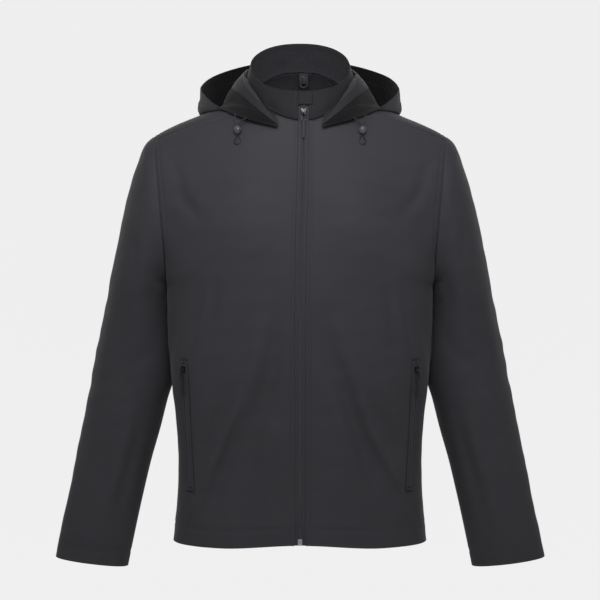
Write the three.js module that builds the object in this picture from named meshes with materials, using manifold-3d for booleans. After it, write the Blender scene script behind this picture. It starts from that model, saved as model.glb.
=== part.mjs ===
// Hooded softshell jacket, filled out and hollow, with its front zip closed and its hood lying back.
// Millimetres. +Z is up, the front faces -Y, and the wearer's left side is at +X.
// The origin is the middle of the wearer's neck base, level with the middle of the shoulders.
import * as THREE from 'three';
import Module from 'manifold-3d';

const wasm = await Module();
wasm.setup();

// Cloth and seams
const cloth = 1.5;
const seamGap = 0.3;

// Body: the height of the underarm and of the hem, and how square its round sections are
const underarmZ = -267;
const hemZ = -668;
const sectionPower = 2.4;
const hoopPower = 2.7;

// Half width, front depth and back depth of the body, from the hem to the underarm
const bodyRows = [
  { z: -668, half: 203, front: 115, back: 115 },
  { z: -640, half: 200, front: 113, back: 112 },
  { z: -600, half: 196, front: 110, back: 109 },
  { z: -540, half: 195, front: 109, back: 107 },
  { z: -470, half: 199.5, front: 112, back: 108 },
  { z: -426, half: 205, front: 115, back: 110 },
  { z: -371, half: 209.5, front: 118, back: 113 },
  { z: -310, half: 211.5, front: 121, back: 117 },
  { z: -267, half: 212, front: 122, back: 118 },
];

// Ridge over the shoulder, from the middle of the neck outwards
const ridgeRows = [
  { x: 0, y: 40, z: 88 },
  { x: 30, y: 37, z: 83 },
  { x: 60, y: 24, z: 64 },
  { x: 84, y: 6, z: 38 },
  { x: 112, y: 1, z: 21 },
  { x: 160, y: 0, z: 3 },
  { x: 200, y: 0, z: -14 },
  { x: 233, y: 0, z: -30 },
];

// Armhole
const tipX = 233;
const armholeDepth = 67;
const armholeTop = 39;
const armholeLean = 1.5;
const armholePull = 3;
const openingTo = 0.3;
const openingPower = 0.8;

// Neckline in plan
const neckHalf = 84;
const neckLength = 82;
const neckY = -10;
const neckPower = 2.2;
const seamAngle = 61;

// Collar rim: a tilted ring
const rimHalf = 79;
const rimLength = 71;
const rimY = -9;
const rimFrontZ = 38;
const rimBackZ = 122;
const collarBulge = 2.5;
const collarGap = 0.6;

// Sleeve rings from the armhole to the cuff: the point nearest the body, the point furthest
// from it, the middle of the ring and its half depth
const sleeveRows = [
  { innerX: 212, innerZ: -267, outerX: 233, outerZ: -30, y: 0, depth: 67 },
  { innerX: 213, innerZ: -269, outerX: 247, outerZ: -43, y: 4, depth: 71 },
  { innerX: 214, innerZ: -271, outerX: 258, outerZ: -68, y: 8, depth: 74 },
  { innerX: 215, innerZ: -274, outerX: 271, outerZ: -107, y: 12, depth: 76 },
  { innerX: 215, innerZ: -278, outerX: 284, outerZ: -157, y: 17, depth: 77 },
  { innerX: 214, innerZ: -284, outerX: 297, outerZ: -218, y: 23, depth: 77 },
  { innerX: 212, innerZ: -296, outerX: 309, outerZ: -277, y: 29, depth: 75 },
  { innerX: 205, innerZ: -332, outerX: 319, outerZ: -325, y: 35, depth: 72 },
  { innerX: 200, innerZ: -372, outerX: 328, outerZ: -367, y: 38, depth: 68 },
  { innerX: 203, innerZ: -415, outerX: 336, outerZ: -409, y: 38, depth: 64 },
  { innerX: 214, innerZ: -452, outerX: 343, outerZ: -446, y: 34, depth: 60 },
  { innerX: 226, innerZ: -500, outerX: 352, outerZ: -494, y: 28, depth: 55 },
  { innerX: 240, innerZ: -550, outerX: 361, outerZ: -542, y: 20, depth: 49 },
  { innerX: 253, innerZ: -606, outerX: 372, outerZ: -597, y: 11, depth: 43 },
  { innerX: 265, innerZ: -662, outerX: 383, outerZ: -650, y: 3, depth: 38 },
  { innerX: 276, innerZ: -717, outerX: 393, outerZ: -702, y: -4, depth: 33 },
];
const sleeveClear = 2;

// Hood, from its front corner to the middle of the back: where its panel leaves the neckline,
// its roll beside the collar, its crest, its floor on the shoulder or back, its side and its rim
const hoodRows = [
  { neck: 24, roll: [34, -98, -13], crest: [35, -99, -14], floor: [35, -100, -15], side: [35, -101, -16],
    rim: [35, -103, -17] },
  { neck: 42, roll: [55, -84, 14], crest: [62, -86, 9], floor: [68, -88, 3], side: [74, -88, -3],
    rim: [80, -87, -6] },
  { neck: 62, roll: [72, -60, 40], crest: [88, -56, 33], floor: [98, -53, 22], side: [110, -50, 11],
    rim: [118, -49, 10] },
  { neck: 84, roll: [82, -24, 60], crest: [104, -14, 50], floor: [128, 0, 12], side: [150, -6, 8],
    rim: [150, -6, 33] },
  { neck: 108, roll: [84, 12, 74], crest: [102, 34, 58], floor: [134, 52, -6], side: [162, 48, 10],
    rim: [158, 40, 50] },
  { neck: 132, roll: [72, 48, 82], crest: [90, 80, 50], floor: [112, 122, -86], side: [142, 118, -8],
    rim: [138, 92, 72] },
  { neck: 158, roll: [40, 75, 88], crest: [52, 104, 30], floor: [64, 132, -158], side: [82, 166, -34],
    rim: [76, 122, 92] },
  { neck: 180, roll: [0, 82, 90], crest: [0, 112, 20], floor: [0, 134, -184], side: [0, 178, -44],
    rim: [0, 132, 98] },
];
const hoodClear = 2.4;
const hoodSeamOut = 2.4;
const hoodSeamUp = 2.4;

// Front zip, closed: two tapes behind the fronts, the chain between them, and its hard pieces
const zipHalf = 8;
const zipLean = 6;
const zipLeanFrom = -300;
const tapeHalf = 12;
const tapeWall = 0.8;
const tapeBehind = cloth + 0.5;
const chainHalf = 2.6;
const chainWall = 1.6;
const chainRaise = 0.1;
const boxHalf = 3.7;
const boxTall = 10;
const boxDeep = 2.9;
const garage = { from: -9, to: 14.5, low: 0.52, raise: 1.7, wall: 1.2 };
const mainSliderUp = 0.28;

// Pocket zips: top and bottom of each opening, the strip over it and where the slider stops
const pocketTop = { x: 182, z: -386 };
const pocketBottom = { x: 172, z: -586 };
const pocketHalf = 7;
const pocketRaise = 1.6;
const pocketWall = 1.2;
const pocketSliderShare = 0.055;

// Slider, with the bridge that holds its pull
const slider = { half: 4.4, tall: 11, deep: 3, bridgeHalf: 1.2, bridgeTall: 9, foot: 1.8, rise: 1.9, bar: 1.2 };
const pull = { wire: 1.2, ringHalf: 4.2, ringTall: 15, tailHalf: 1.9, tailLong: 28, tailWall: 2.4, endHalf: 2.7 };
const pullClear = 0.35;

// Drawcord loops: each leaves the hood's edge, passes through a toggle, turns and goes back
const cordD = 2.2;
const cordSides = 8;
const toggle = { x: 97, y: -86.4, z: -22.5, half: 6, tall: 7, slotHalf: 2.9, slotDeep: 1.5 };

// Loop and bare label inside the back of the neck
const loop = { x: 6, half: 7, tape: 3, wall: 1, top: 74, bottom: 50, y: 68.5 };
const label = { half: 6.5, wall: 0.6, top: 74, bottom: 57, gap: 0.35 };

const degrees = Math.PI / 180;
const power = (value, exponent) => Math.sign(value) * Math.abs(value) ** exponent;
const mix = (a, b, t) => a + (b - a) * t;
const clamp = (value, low, high) => Math.min(high, Math.max(low, value));
const smooth = (low, high, value) => {
  const t = clamp((value - low) / (high - low), 0, 1);
  return t * t * (3 - 2 * t);
};

// A smooth curve through one column of a table's rows, at a row number that may have a fraction
function column(rows, read, at) {
  const i = clamp(Math.floor(at), 0, rows.length - 2);
  const t = at - i;
  const a = read(rows[i]);
  const b = read(rows[i + 1]);
  const before = i > 0 ? read(rows[i - 1]) : 2 * a - b;
  const after = i < rows.length - 2 ? read(rows[i + 2]) : 2 * b - a;
  const slopeA = (b - before) / 2;
  const slopeB = (after - a) / 2;
  return (2 * t ** 3 - 3 * t ** 2 + 1) * a + (t ** 3 - 2 * t ** 2 + t) * slopeA
    + (3 * t ** 2 - 2 * t ** 3) * b + (t ** 3 - t ** 2) * slopeB;
}

// The value of one column where another column, which rises from row to row, has a given value
function lookUp(rows, key, value, at) {
  let i = 0;
  while (i < rows.length - 2 && rows[i + 1][key] < at) i += 1;
  const width = (k) => rows[k + 1][key] - rows[k][key];
  const slope = (k) => (rows[k + 1][value] - rows[k][value]) / width(k);
  const t = clamp((at - rows[i][key]) / width(i), 0, 1);
  const slopeA = i > 0 ? (slope(i - 1) + slope(i)) / 2 : slope(i);
  const slopeB = i < rows.length - 2 ? (slope(i) + slope(i + 1)) / 2 : slope(i);
  return (2 * t ** 3 - 3 * t ** 2 + 1) * rows[i][value] + (t ** 3 - 2 * t ** 2 + t) * slopeA * width(i)
    + (3 * t ** 2 - 2 * t ** 3) * rows[i + 1][value] + (t ** 3 - t ** 2) * slopeB * width(i);
}

// Half-turn round a hoop over the shoulder to the angle round the armhole that it ends at
const armholeAngle = (hoop) => 2 * hoop + armholeTop * degrees * Math.sin(2 * hoop);

const bodyHalf = (z) => lookUp(bodyRows, 'z', 'half', z);
const across = (p) => power(Math.sin(p * 90 * degrees), 2 / sectionPower);
const acrossInverse = (share) => Math.asin(clamp(share, 0, 1) ** (sectionPower / 2)) / (90 * degrees);

// Depth of a section at a share of its half width: a full oval at the underarm, and falling off
// straight towards the armhole where open is 1
const deep = (share, open = 0) => (1 - clamp(share, 0, 1) ** sectionPower) ** mix(1 / sectionPower, 1, open);
const openAt = (t) => smooth(0, openingTo, Math.min(t, 2 - t));

// The front zip stands slightly to the wearer's left at the top
const leanAt = (x, y, z) => (y < 0 ? zipLean * smooth(zipLeanFrom, rimFrontZ, z) * Math.exp(-((x / 55) ** 2)) : 0);

// A point on the outside of the body. p runs from the middle (0) to the side or armhole (1).
// t runs from the front hem (-1) by the front underarm (0), the ridge (1) and the back underarm (2)
// to the back hem (3).
function body(p, t) {
  if (t < 0 || t > 2) {
    const z = mix(underarmZ, hemZ, t < 0 ? -t : t - 2);
    const depth = t < 0 ? -lookUp(bodyRows, 'z', 'front', z) : lookUp(bodyRows, 'z', 'back', z);
    return new THREE.Vector3(bodyHalf(z) * across(p), depth * deep(across(p)), z);
  }
  const top = bodyRows.at(-1);
  const open = openAt(t);
  const share = mix(across(p), p ** openingPower, open);
  const ridgeX = top.half * share + (tipX - top.half) * share ** 2;
  const ridgeY = lookUp(ridgeRows, 'x', 'y', ridgeX);
  const ridgeZ = lookUp(ridgeRows, 'x', 'z', ridgeX);
  const edgeY = t < 1 ? -top.front * deep(share, open) : top.back * deep(share, open);
  const hoop = t * 90 * degrees;
  const up = power(Math.sin(hoop), 2 / hoopPower);
  const out = Math.abs(Math.cos(hoop)) ** (2 / hoopPower);
  const round = armholeAngle(hoop);
  const rise = (1 - Math.cos(round)) / 2;
  const tipZ = ridgeRows.at(-1).z;
  const pull = share ** armholePull;
  return new THREE.Vector3(
    top.half * share + (tipX - top.half) * rise ** armholeLean * share ** 2,
    mix(ridgeY, edgeY, out) - pull * armholeDepth * Math.sin(round),
    mix(underarmZ, ridgeZ, up) + pull * (tipZ - underarmZ) * (rise - up),
  );
}

// Where the neckline lies on the body, at an angle from the front (0) round to the back (180).
// An inset draws it in, in plan.
function neckline(angle, inset = 0) {
  const x = (neckHalf - inset) * power(Math.sin(angle * degrees), 2 / neckPower);
  const y = neckY - (neckLength - inset) * power(Math.cos(angle * degrees), 2 / neckPower);
  const top = bodyRows.at(-1);
  const share = x / top.half;
  const p = share ** (1 / openingPower);
  const ridgeY = lookUp(ridgeRows, 'x', 'y', top.half * share + (tipX - top.half) * share ** 2);
  const edgeY = y < ridgeY ? -top.front * deep(share, 1) : top.back * deep(share, 1);
  const hoop = Math.acos(clamp((y - ridgeY) / (edgeY - ridgeY), 0, 1) ** (hoopPower / 2)) / (90 * degrees);
  return { p, t: y < ridgeY ? hoop : 2 - hoop };
}

// A point on the outside of a sleeve, at an angle round the ring and at a row number
function sleeve(angle, row) {
  const of = (key) => column(sleeveRows, (r) => r[key], row);
  const rise = (1 - Math.cos(angle)) / 2;
  const nearArmhole = clamp(1 - row, 0, 1);
  const leaning = (tipX - sleeveRows[0].innerX) * (rise ** armholeLean - rise) * nearArmhole;
  const point = new THREE.Vector3(
    mix(of('innerX'), of('outerX'), rise) + leaning,
    of('y') - of('depth') * Math.sin(angle),
    mix(of('innerZ'), of('outerZ'), rise),
  );
  if (row >= 1 && point.z < underarmZ) {
    const front = lookUp(bodyRows, 'z', point.y < 0 ? 'front' : 'back', point.z) + sleeveClear;
    const side = bodyHalf(point.z) + sleeveClear;
    const inside = 1 - (Math.abs(point.y) / front) ** sectionPower;
    if (inside > 0) point.x = Math.max(point.x, side * inside ** (1 / sectionPower));
  }
  return point;
}

// A point on the outside of the collar. The angle runs from the front by the wearer's left
// to the back and on to the front again, and up runs from the neckline to the rim.
function collar(angle, up) {
  const side = angle <= 180 ? 1 : -1;
  const turn = angle <= 180 ? angle : 360 - angle;
  const { p, t } = neckline(turn);
  const inner = neckline(turn, 2);
  const base = body(p, t);
  base.addScaledVector(body(inner.p, inner.t).sub(base).normalize(), collarGap);
  const y = rimY - rimLength * power(Math.cos(turn * degrees), 2 / neckPower);
  const rim = new THREE.Vector3(
    rimHalf * power(Math.sin(turn * degrees), 2 / neckPower), y,
    mix(rimFrontZ, rimBackZ, (y - rimY + rimLength) / (2 * rimLength)),
  );
  const outwards = new THREE.Vector3(base.x, base.y - neckY, 0).normalize();
  const point = base.lerp(rim, up).addScaledVector(outwards, collarBulge * 4 * up * (1 - up));
  point.x *= side;
  return point;
}

// Moves a point away from the nearest of a surface's samples until it is clear of it
function clearOf(point, samples, clear) {
  let nearest = samples[0];
  let best = Infinity;
  for (const sample of samples) {
    const distance = sample.point.distanceToSquared(point);
    if (distance < best) [best, nearest] = [distance, sample];
  }
  const height = point.clone().sub(nearest.point).dot(nearest.normal);
  if (height < clear) point.addScaledVector(nearest.normal, clear - height);
  return point;
}

// A point on the outside of one half of the hood. along runs from the front corner to the middle
// of the back, and v from the neckline to the rim.
function hoodPoint(along, v) {
  const row = along * (hoodRows.length - 1);
  const { p, t } = neckline(column(hoodRows, (r) => r.neck, row));
  const neck = body(p, t);
  const outwards = new THREE.Vector3(neck.x, neck.y - neckY, 0).normalize();
  neck.addScaledVector(outwards, hoodSeamOut);
  neck.z += hoodSeamUp;
  const read = (key) => new THREE.Vector3(...[0, 1, 2].map((k) => column(hoodRows, (r) => r[key][k], row)));
  const line = [neck, ...['roll', 'crest', 'floor', 'side', 'rim'].map(read)];
  const at = v * (line.length - 1);
  return new THREE.Vector3(...[0, 1, 2].map((k) => column(line, (q) => q.getComponent(k), at)));
}

// Outward normal of a surface of two numbers, with small steps that stay on the same side of a fold
function normalOf(surface, a, b, stepA, stepB) {
  const alongA = surface(a + stepA, b).sub(surface(a - stepA, b));
  const alongB = surface(a, b + stepB).sub(surface(a, b - stepB));
  return alongA.cross(alongB).normalize();
}

// Rows of points on the body between p0 and 1 at each t, with normals
function bodyGrid(side, ts, shares, startOf, endOf = () => 1) {
  const step = 1e-3;
  return ts.map((t) => shares.map((share) => {
    const p = mix(startOf(t), endOf(t), share);
    const at = clamp(p, step, 1 - step);
    const along = Math.abs(t % 1) < step ? t + (t < 1 ? -step : step) * (t === -1 || t === 3 ? -1 : 1) : t;
    const normal = normalOf(body, at, along, step / 2, step / 2);
    const point = body(p, t);
    point.x += leanAt(point.x * side, point.y, point.z) * side;
    return { point: new THREE.Vector3(point.x * side, point.y, point.z),
      normal: new THREE.Vector3(normal.x * side, normal.y, normal.z) };
  }));
}

// A grid of a surface of two numbers
function gridOf(surface, side, as, bs, turned, stepA, stepB) {
  return bs.map((b) => as.map((a) => {
    const normal = normalOf(surface, a, b, stepA, stepB).multiplyScalar(turned ? -1 : 1);
    const point = surface(a, b);
    return { point: new THREE.Vector3(point.x * side, point.y, point.z),
      normal: new THREE.Vector3(normal.x * side, normal.y, normal.z) };
  }));
}

// Draws the edges of a grid in by half the seam's gap
function trimmed(grid, edges) {
  const half = seamGap / 2 + 0.1;
  const copy = grid.map((row) => row.map((g) => ({ point: g.point.clone(), normal: g.normal })));
  const last = grid.length - 1;
  const end = grid[0].length - 1;
  const draw = (i, j, ni, nj) => {
    const way = grid[ni][nj].point.clone().sub(grid[i][j].point).normalize();
    copy[i][j].point.addScaledVector(way, half);
  };
  for (let j = 0; j <= end; j += 1) {
    if (edges.includes('first')) draw(0, j, 1, j);
    if (edges.includes('last')) draw(last, j, last - 1, j);
  }
  for (let i = 0; i <= last; i += 1) {
    if (edges.includes('left')) draw(i, 0, i, 1);
    if (edges.includes('right')) draw(i, end, i, end - 1);
  }
  return copy;
}

// A closed wall of cloth on a grid: its outer face is `raise` above the grid and `wall` thick.
// Quads that `skip` names are left open, and every open edge gets a rim.
function wallOf(grid, { wall = cloth, raise = 0, round = false, skip = () => false } = {}) {
  const columns = grid[0].length;
  const places = new Map();
  const outer = [];
  const inner = [];
  const number = (i, j) => {
    const g = grid[i][j % columns];
    const key = g.point.toArray().map((v) => Math.round(v * 1e4)).join();
    if (!places.has(key)) {
      places.set(key, places.size);
      outer.push(...g.point.clone().addScaledVector(g.normal, raise).toArray());
      inner.push(...g.point.clone().addScaledVector(g.normal, raise - wall).toArray());
    }
    return places.get(key);
  };
  const faces = [];
  const face = (a, b, c) => {
    if (a !== b && b !== c && c !== a) faces.push([a, b, c]);
  };
  for (let i = 0; i < grid.length - 1; i += 1) {
    for (let j = 0; j < (round ? columns : columns - 1); j += 1) {
      if (!skip(i, j)) {
        const [a, b, c, d] = [number(i, j), number(i, j + 1), number(i + 1, j + 1), number(i + 1, j)];
        face(a, b, c);
        face(a, c, d);
      }
    }
  }
  const count = places.size;
  const edges = new Set(faces.flatMap(([a, b, c]) => [`${a} ${b}`, `${b} ${c}`, `${c} ${a}`]));
  const index = faces.flatMap(([a, b, c]) => [a, b, c, a + count, c + count, b + count]);
  for (const edge of edges) {
    const [a, b] = edge.split(' ').map(Number);
    if (!edges.has(`${b} ${a}`)) index.push(b, a, a + count, b, a + count, b + count);
  }
  return closedOutwards([...outer, ...inner], index);
}

// A geometry whose faces are turned outwards if its volume came out negative
function closedOutwards(positions, index) {
  let volume = 0;
  const corner = (k) => new THREE.Vector3(...positions.slice(3 * k, 3 * k + 3));
  for (let k = 0; k < index.length; k += 3) {
    volume += corner(index[k]).dot(corner(index[k + 1]).cross(corner(index[k + 2])));
  }
  if (volume < 0) {
    for (let k = 0; k < index.length; k += 3) [index[k + 1], index[k + 2]] = [index[k + 2], index[k + 1]];
  }
  const geometry = new THREE.BufferGeometry();
  geometry.setAttribute('position', new THREE.Float32BufferAttribute(positions, 3));
  geometry.setIndex(index);
  return geometry;
}

// Solids for cutting and joining
function solidOf(geometry) {
  const index = geometry.index ? [...geometry.index.array] : [...Array(geometry.attributes.position.count).keys()];
  const places = new Map();
  const positions = [];
  const number = (k) => {
    const at = [0, 1, 2].map((c) => Math.round(geometry.attributes.position.array[3 * k + c] * 1e4) / 1e4);
    const key = at.join();
    if (!places.has(key)) {
      places.set(key, positions.length / 3);
      positions.push(...at);
    }
    return places.get(key);
  };
  const triangles = [];
  for (let k = 0; k < index.length; k += 3) {
    const t = [number(index[k]), number(index[k + 1]), number(index[k + 2])];
    if (t[0] !== t[1] && t[1] !== t[2] && t[2] !== t[0]) triangles.push(...t);
  }
  return new wasm.Manifold(new wasm.Mesh({
    numProp: 3, vertProperties: new Float32Array(positions), triVerts: new Uint32Array(triangles),
  }));
}

function geometryOf(solid) {
  const mesh = solid.getMesh();
  const geometry = new THREE.BufferGeometry();
  geometry.setAttribute('position', new THREE.Float32BufferAttribute([...mesh.vertProperties], 3));
  geometry.setIndex([...mesh.triVerts]);
  return geometry;
}

// Materials
const finish = (color, roughness, metalness = 0) => new THREE.MeshStandardMaterial({ color, roughness, metalness });
const charcoal = finish(0x3c3b41, 0.8);
const tapeGrey = finish(0x34343a, 0.85);
const darkMetal = finish(0x8a8a90, 0.35, 0.8);
const softRubber = finish(0x1c1c1f, 0.6);
const cordBlack = finish(0x202024, 0.9);

const jacket = new THREE.Group();
function add(name, geometry, material) {
  const mesh = new THREE.Mesh(geometry, material);
  mesh.name = name;
  jacket.add(mesh);
  return mesh;
}

const sides = [{ side: 1, word: 'left' }, { side: -1, word: 'right' }];
const steps = (count) => [...Array(count + 1).keys()].map((k) => k / count);

// Rows that the body's panels, the collar and the sleeves share along the neckline and armhole
const frontNeckAngles = [0, 11, 24, 42];
const backNeckAngles = [80, 100, 116, 132, 148, 164];
const frontUpper = [6, 13, 21, 30].map((a) => a / 90);
const backUpper = [62, 49, 37, 26, 16, 7].map((a) => 2 - a / 90);
const seamT = neckline(seamAngle).t;
const frontTs = [...steps(10).map((s) => s - 1), ...frontUpper, ...frontNeckAngles.map((a) => neckline(a).t), seamT];
const backTs = [seamT, ...backNeckAngles.map((a) => neckline(a).t), neckline(180).t, ...backUpper,
  ...steps(10).map((s) => 2 + s)];
const armholeTs = [0, ...frontTs.filter((t) => t > 1e-6), ...backTs.slice(1).filter((t) => t < 2 - 1e-6)];
const armholeAngles = armholeTs.map((t) => armholeAngle(t * 90 * degrees));
const sidewards = steps(12).map((s) => mix(s, Math.sin(s * 90 * degrees), 0.35));

// The column where a row of a panel starts: the zip's edge, or the neckline
const zipStart = (t) => {
  const share = zipHalf / bodyHalf(t < 0 ? mix(underarmZ, hemZ, -t) : underarmZ);
  return mix(acrossInverse(share), share ** (1 / openingPower), t < 0 ? 0 : openAt(t));
};
const neckStart = (t) => {
  if (t <= neckline(0).t + 1e-9 || t >= neckline(180).t - 1e-9) return 0;
  let low = 0;
  let high = 180;
  for (let k = 0; k < 40; k += 1) {
    const middle = (low + high) / 2;
    if (neckline(middle).t < t) low = middle;
    else high = middle;
  }
  return neckline((low + high) / 2).p;
};

function makeFront({ side, word }) {
  const grid = bodyGrid(side, frontTs, sidewards, (t) => Math.max(zipStart(t), neckStart(t)));
  add(`front_${word}`, wallOf(trimmed(grid, ['last', 'right', 'left'])), charcoal);
}

function makeBack() {
  const halves = sides.map(({ side }) => bodyGrid(side, backTs, sidewards, neckStart));
  const neckRow = backTs.findIndex((t) => t >= neckline(180).t - 1e-9);
  const [left, right] = halves.map((grid) => trimmed(grid, ['first', 'right']));
  const grid = right.map((row, i) => [...row.slice().reverse(), ...left[i]]);
  const middle = right[0].length - 1;
  add('back', wallOf(grid, { skip: (i, j) => j === middle && i < neckRow }), charcoal);
}

function makeSleeve({ side, word }) {
  const rows = [0, 0.5, 1, 2, 3, 4, 5, 6, 6.5, 7, 8, 9, 10, 11, 12, 13, 14, 15];
  const grid = gridOf(sleeve, side, armholeAngles, rows, true, 1e-3, 1e-3);
  add(`sleeve_${word}`, wallOf(trimmed(grid, ['first']), { round: true }), charcoal);
}

const collarAngles = [...frontNeckAngles.slice(1), seamAngle, ...backNeckAngles];

function makeCollar() {
  const start = Math.asin((zipHalf / neckHalf) ** (neckPower / 2)) / degrees;
  const turn = [start, ...collarAngles, 180, ...collarAngles.slice().reverse().map((a) => 360 - a), 360 - start];
  const grid = gridOf(collar, 1, turn, steps(5), false, 0.05, 1e-3);
  for (const row of grid) for (const g of row) g.point.x += leanAt(g.point.x, g.point.y, g.point.z);
  add('collar', wallOf(trimmed(grid, ['left', 'right'])), charcoal);
}

const bodySamples = bodyGrid(1, steps(80).map((k) => 0.2 + 2 * k), steps(40), neckStart).flat();
const collarSamples = gridOf(collar, 1, steps(60).map((k) => 3 + 177 * k), steps(12), false, 0.05, 1e-3).flat();

function hood(along, v) {
  const point = hoodPoint(along, v);
  for (let round = 0; round < 3; round += 1) {
    clearOf(point, collarSamples, hoodClear + cloth);
    clearOf(point, bodySamples, hoodClear);
  }
  if (along === 1) point.x = 0;
  return point;
}

function makeHood({ side, word }) {
  const inside = (surface) => (a, b) => surface(clamp(a, 0, 1), clamp(b, 0, 1));
  const grid = gridOf(inside(hood), side, steps(22), steps(15), true, 4e-3, 4e-3);
  for (const row of grid) row.at(-1).normal.setX(0).normalize();
  add(`hood_${word}`, wallOf(trimmed(grid, ['right'])), charcoal);
}

// A strip along the front zip, from the hem up the fronts and the collar, between two widths
function zipStrip(from, to, low, high) {
  const widths = [from, (from + to) / 2, to];
  const pOf = (x, t) => {
    const share = Math.abs(x) / bodyHalf(t < 0 ? mix(underarmZ, hemZ, -t) : underarmZ);
    return mix(acrossInverse(share), share ** (1 / openingPower), t < 0 ? 0 : openAt(t));
  };
  const lowest = steps(10).map((k) => mix(low, 0, k));
  const ts = [...lowest, ...frontUpper, frontNeckT - 0.002];
  const rows = ts.map((t) => widths.map((x) => bodyGrid(Math.sign(x) || 1, [t], [0], () => pOf(x, t))[0][0]));
  const angleOf = (x) => (Math.asin((Math.abs(x) / neckHalf) ** (neckPower / 2)) / degrees);
  for (const up of [0, 0.3, 0.65, high]) {
    rows.push(widths.map((x) => collarAt(x < 0 ? 360 - angleOf(x) : angleOf(x), up)));
  }
  return rows;
}

function collarAt(angle, up) {
  const point = collar(angle, up);
  const normal = normalOf(collar, clamp(angle, 0.1, 359.9), up, 0.05, 1e-3);
  point.x += leanAt(point.x, point.y, point.z);
  return { point, normal };
}

// A frame on a surface: right, up along the surface, and out
function frameAt(point, above, normal) {
  const up = above.clone().sub(point).normalize();
  const right = up.clone().cross(normal).normalize().negate();
  const out = right.clone().cross(up).normalize();
  if (out.dot(normal) < 0) return new THREE.Matrix4().makeBasis(right.negate(), up, out.negate()).setPosition(point);
  return new THREE.Matrix4().makeBasis(right, up, out).setPosition(point);
}

// A box from its low to its high corner, in a frame
const block = (low, high) => new THREE.BoxGeometry(high[0] - low[0], high[1] - low[1], high[2] - low[2])
  .translate((low[0] + high[0]) / 2, (low[1] + high[1]) / 2, (low[2] + high[2]) / 2);

const joined = (pieces) => geometryOf(pieces.map(solidOf).reduce((a, b) => a.add(b)));

function sliderShape() {
  const { half, tall, deep, bridgeHalf, bridgeTall, foot, rise, bar } = slider;
  const outline = new THREE.Shape([
    new THREE.Vector2(-half, tall / 2), new THREE.Vector2(-half * 0.62, -tall / 2),
    new THREE.Vector2(half * 0.62, -tall / 2), new THREE.Vector2(half, tall / 2),
  ]);
  const plate = new THREE.ExtrudeGeometry(outline, { depth: deep, bevelEnabled: false });
  const ends = [-1, 1].map((way) => block(
    [-bridgeHalf, way > 0 ? bridgeTall / 2 - foot : -bridgeTall / 2, deep - 0.2],
    [bridgeHalf, way > 0 ? bridgeTall / 2 : foot - bridgeTall / 2, deep + rise + bar],
  ));
  const bridge = block([-bridgeHalf, -bridgeTall / 2, deep + rise], [bridgeHalf, bridgeTall / 2, deep + rise + bar]);
  return joined([plate, ...ends, bridge]);
}

// The pull hangs down from its axis: a ring that narrows at the top, and a flat tail with a wider end
function pullShape() {
  const { wire, ringHalf, ringTall, tailHalf, tailLong, tailWall, endHalf } = pull;
  const outline = new THREE.Shape([
    new THREE.Vector2(-ringHalf, -ringTall), new THREE.Vector2(ringHalf, -ringTall),
    new THREE.Vector2(ringHalf * 0.62, wire / 2), new THREE.Vector2(-ringHalf * 0.62, wire / 2),
  ]);
  outline.holes.push(new THREE.Path([
    new THREE.Vector2(-ringHalf * 0.62 + wire, -wire / 2), new THREE.Vector2(ringHalf * 0.62 - wire, -wire / 2),
    new THREE.Vector2(ringHalf - wire, wire - ringTall), new THREE.Vector2(wire - ringHalf, wire - ringTall),
  ]));
  const flat = new THREE.ExtrudeGeometry(outline, { depth: wire, bevelEnabled: false }).translate(0, 0, -wire / 2);
  const tailTop = 3 - ringTall;
  const tail = block([-tailHalf, tailTop - tailLong, -tailWall / 2], [tailHalf, tailTop, tailWall / 2]);
  const end = new THREE.CylinderGeometry(endHalf, endHalf, tailWall, 16).rotateX(90 * degrees)
    .translate(0, tailTop - tailLong, 0);
  return joined([flat, tail, end]);
}

const frontNeckT = neckline(0).t;

function makeFrontZip() {
  const lift = boxTall + seamGap;
  for (const { side, word } of sides) {
    const grid = zipStrip(side * 0.15, side * tapeHalf, -1, 0.97);
    add(`zip_tape_${word}`, wallOf(grid, { raise: -tapeBehind, wall: tapeWall }), tapeGrey);
  }
  const chain = zipStrip(-chainHalf, chainHalf, -1 + lift / (underarmZ - hemZ), 0.97);
  add('zip_chain', wallOf(chain, { raise: chainRaise, wall: chainWall }), tapeGrey);
  const { from, to, low, raise, wall } = garage;
  const angleOf = (x) => Math.asin((Math.abs(x) / neckHalf) ** (neckPower / 2)) / degrees;
  const cover = steps(4).map((k) => steps(6).map((j) => {
    const x = mix(from, to, j);
    return collarAt(x < 0 ? 360 - angleOf(x) : angleOf(x), mix(low, 0.995, k));
  }));
  add('zip_garage', wallOf(cover, { raise, wall }), charcoal);
  const foot = body(0, -1);
  const box = frameAt(foot, body(0, -0.97), new THREE.Vector3(0, -1, 0));
  const boxShape = block([-boxHalf, 0, chainRaise - chainWall], [boxHalf, boxTall, chainRaise - chainWall + boxDeep]);
  add('zip_box', boxShape.applyMatrix4(box), darkMetal);
  const seat = collarAt(0, mainSliderUp);
  makeSliderAndPull('main', frameAt(seat.point, collarAt(0, mainSliderUp + 0.1).point, seat.normal), chainRaise);
}

function makeSliderAndPull(word, frame, under) {
  const raised = new THREE.Matrix4().makeTranslation(0, 0, under + pullClear);
  add(`${word}_slider`, sliderShape().applyMatrix4(raised).applyMatrix4(frame), darkMetal);
  const axis = new THREE.Vector3(0, 0, under + pullClear + slider.deep + slider.rise / 2);
  const down = new THREE.Matrix4().makeTranslation(...axis.toArray());
  add(`${word}_pull`, pullShape().applyMatrix4(down).applyMatrix4(frame), softRubber);
}

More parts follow.
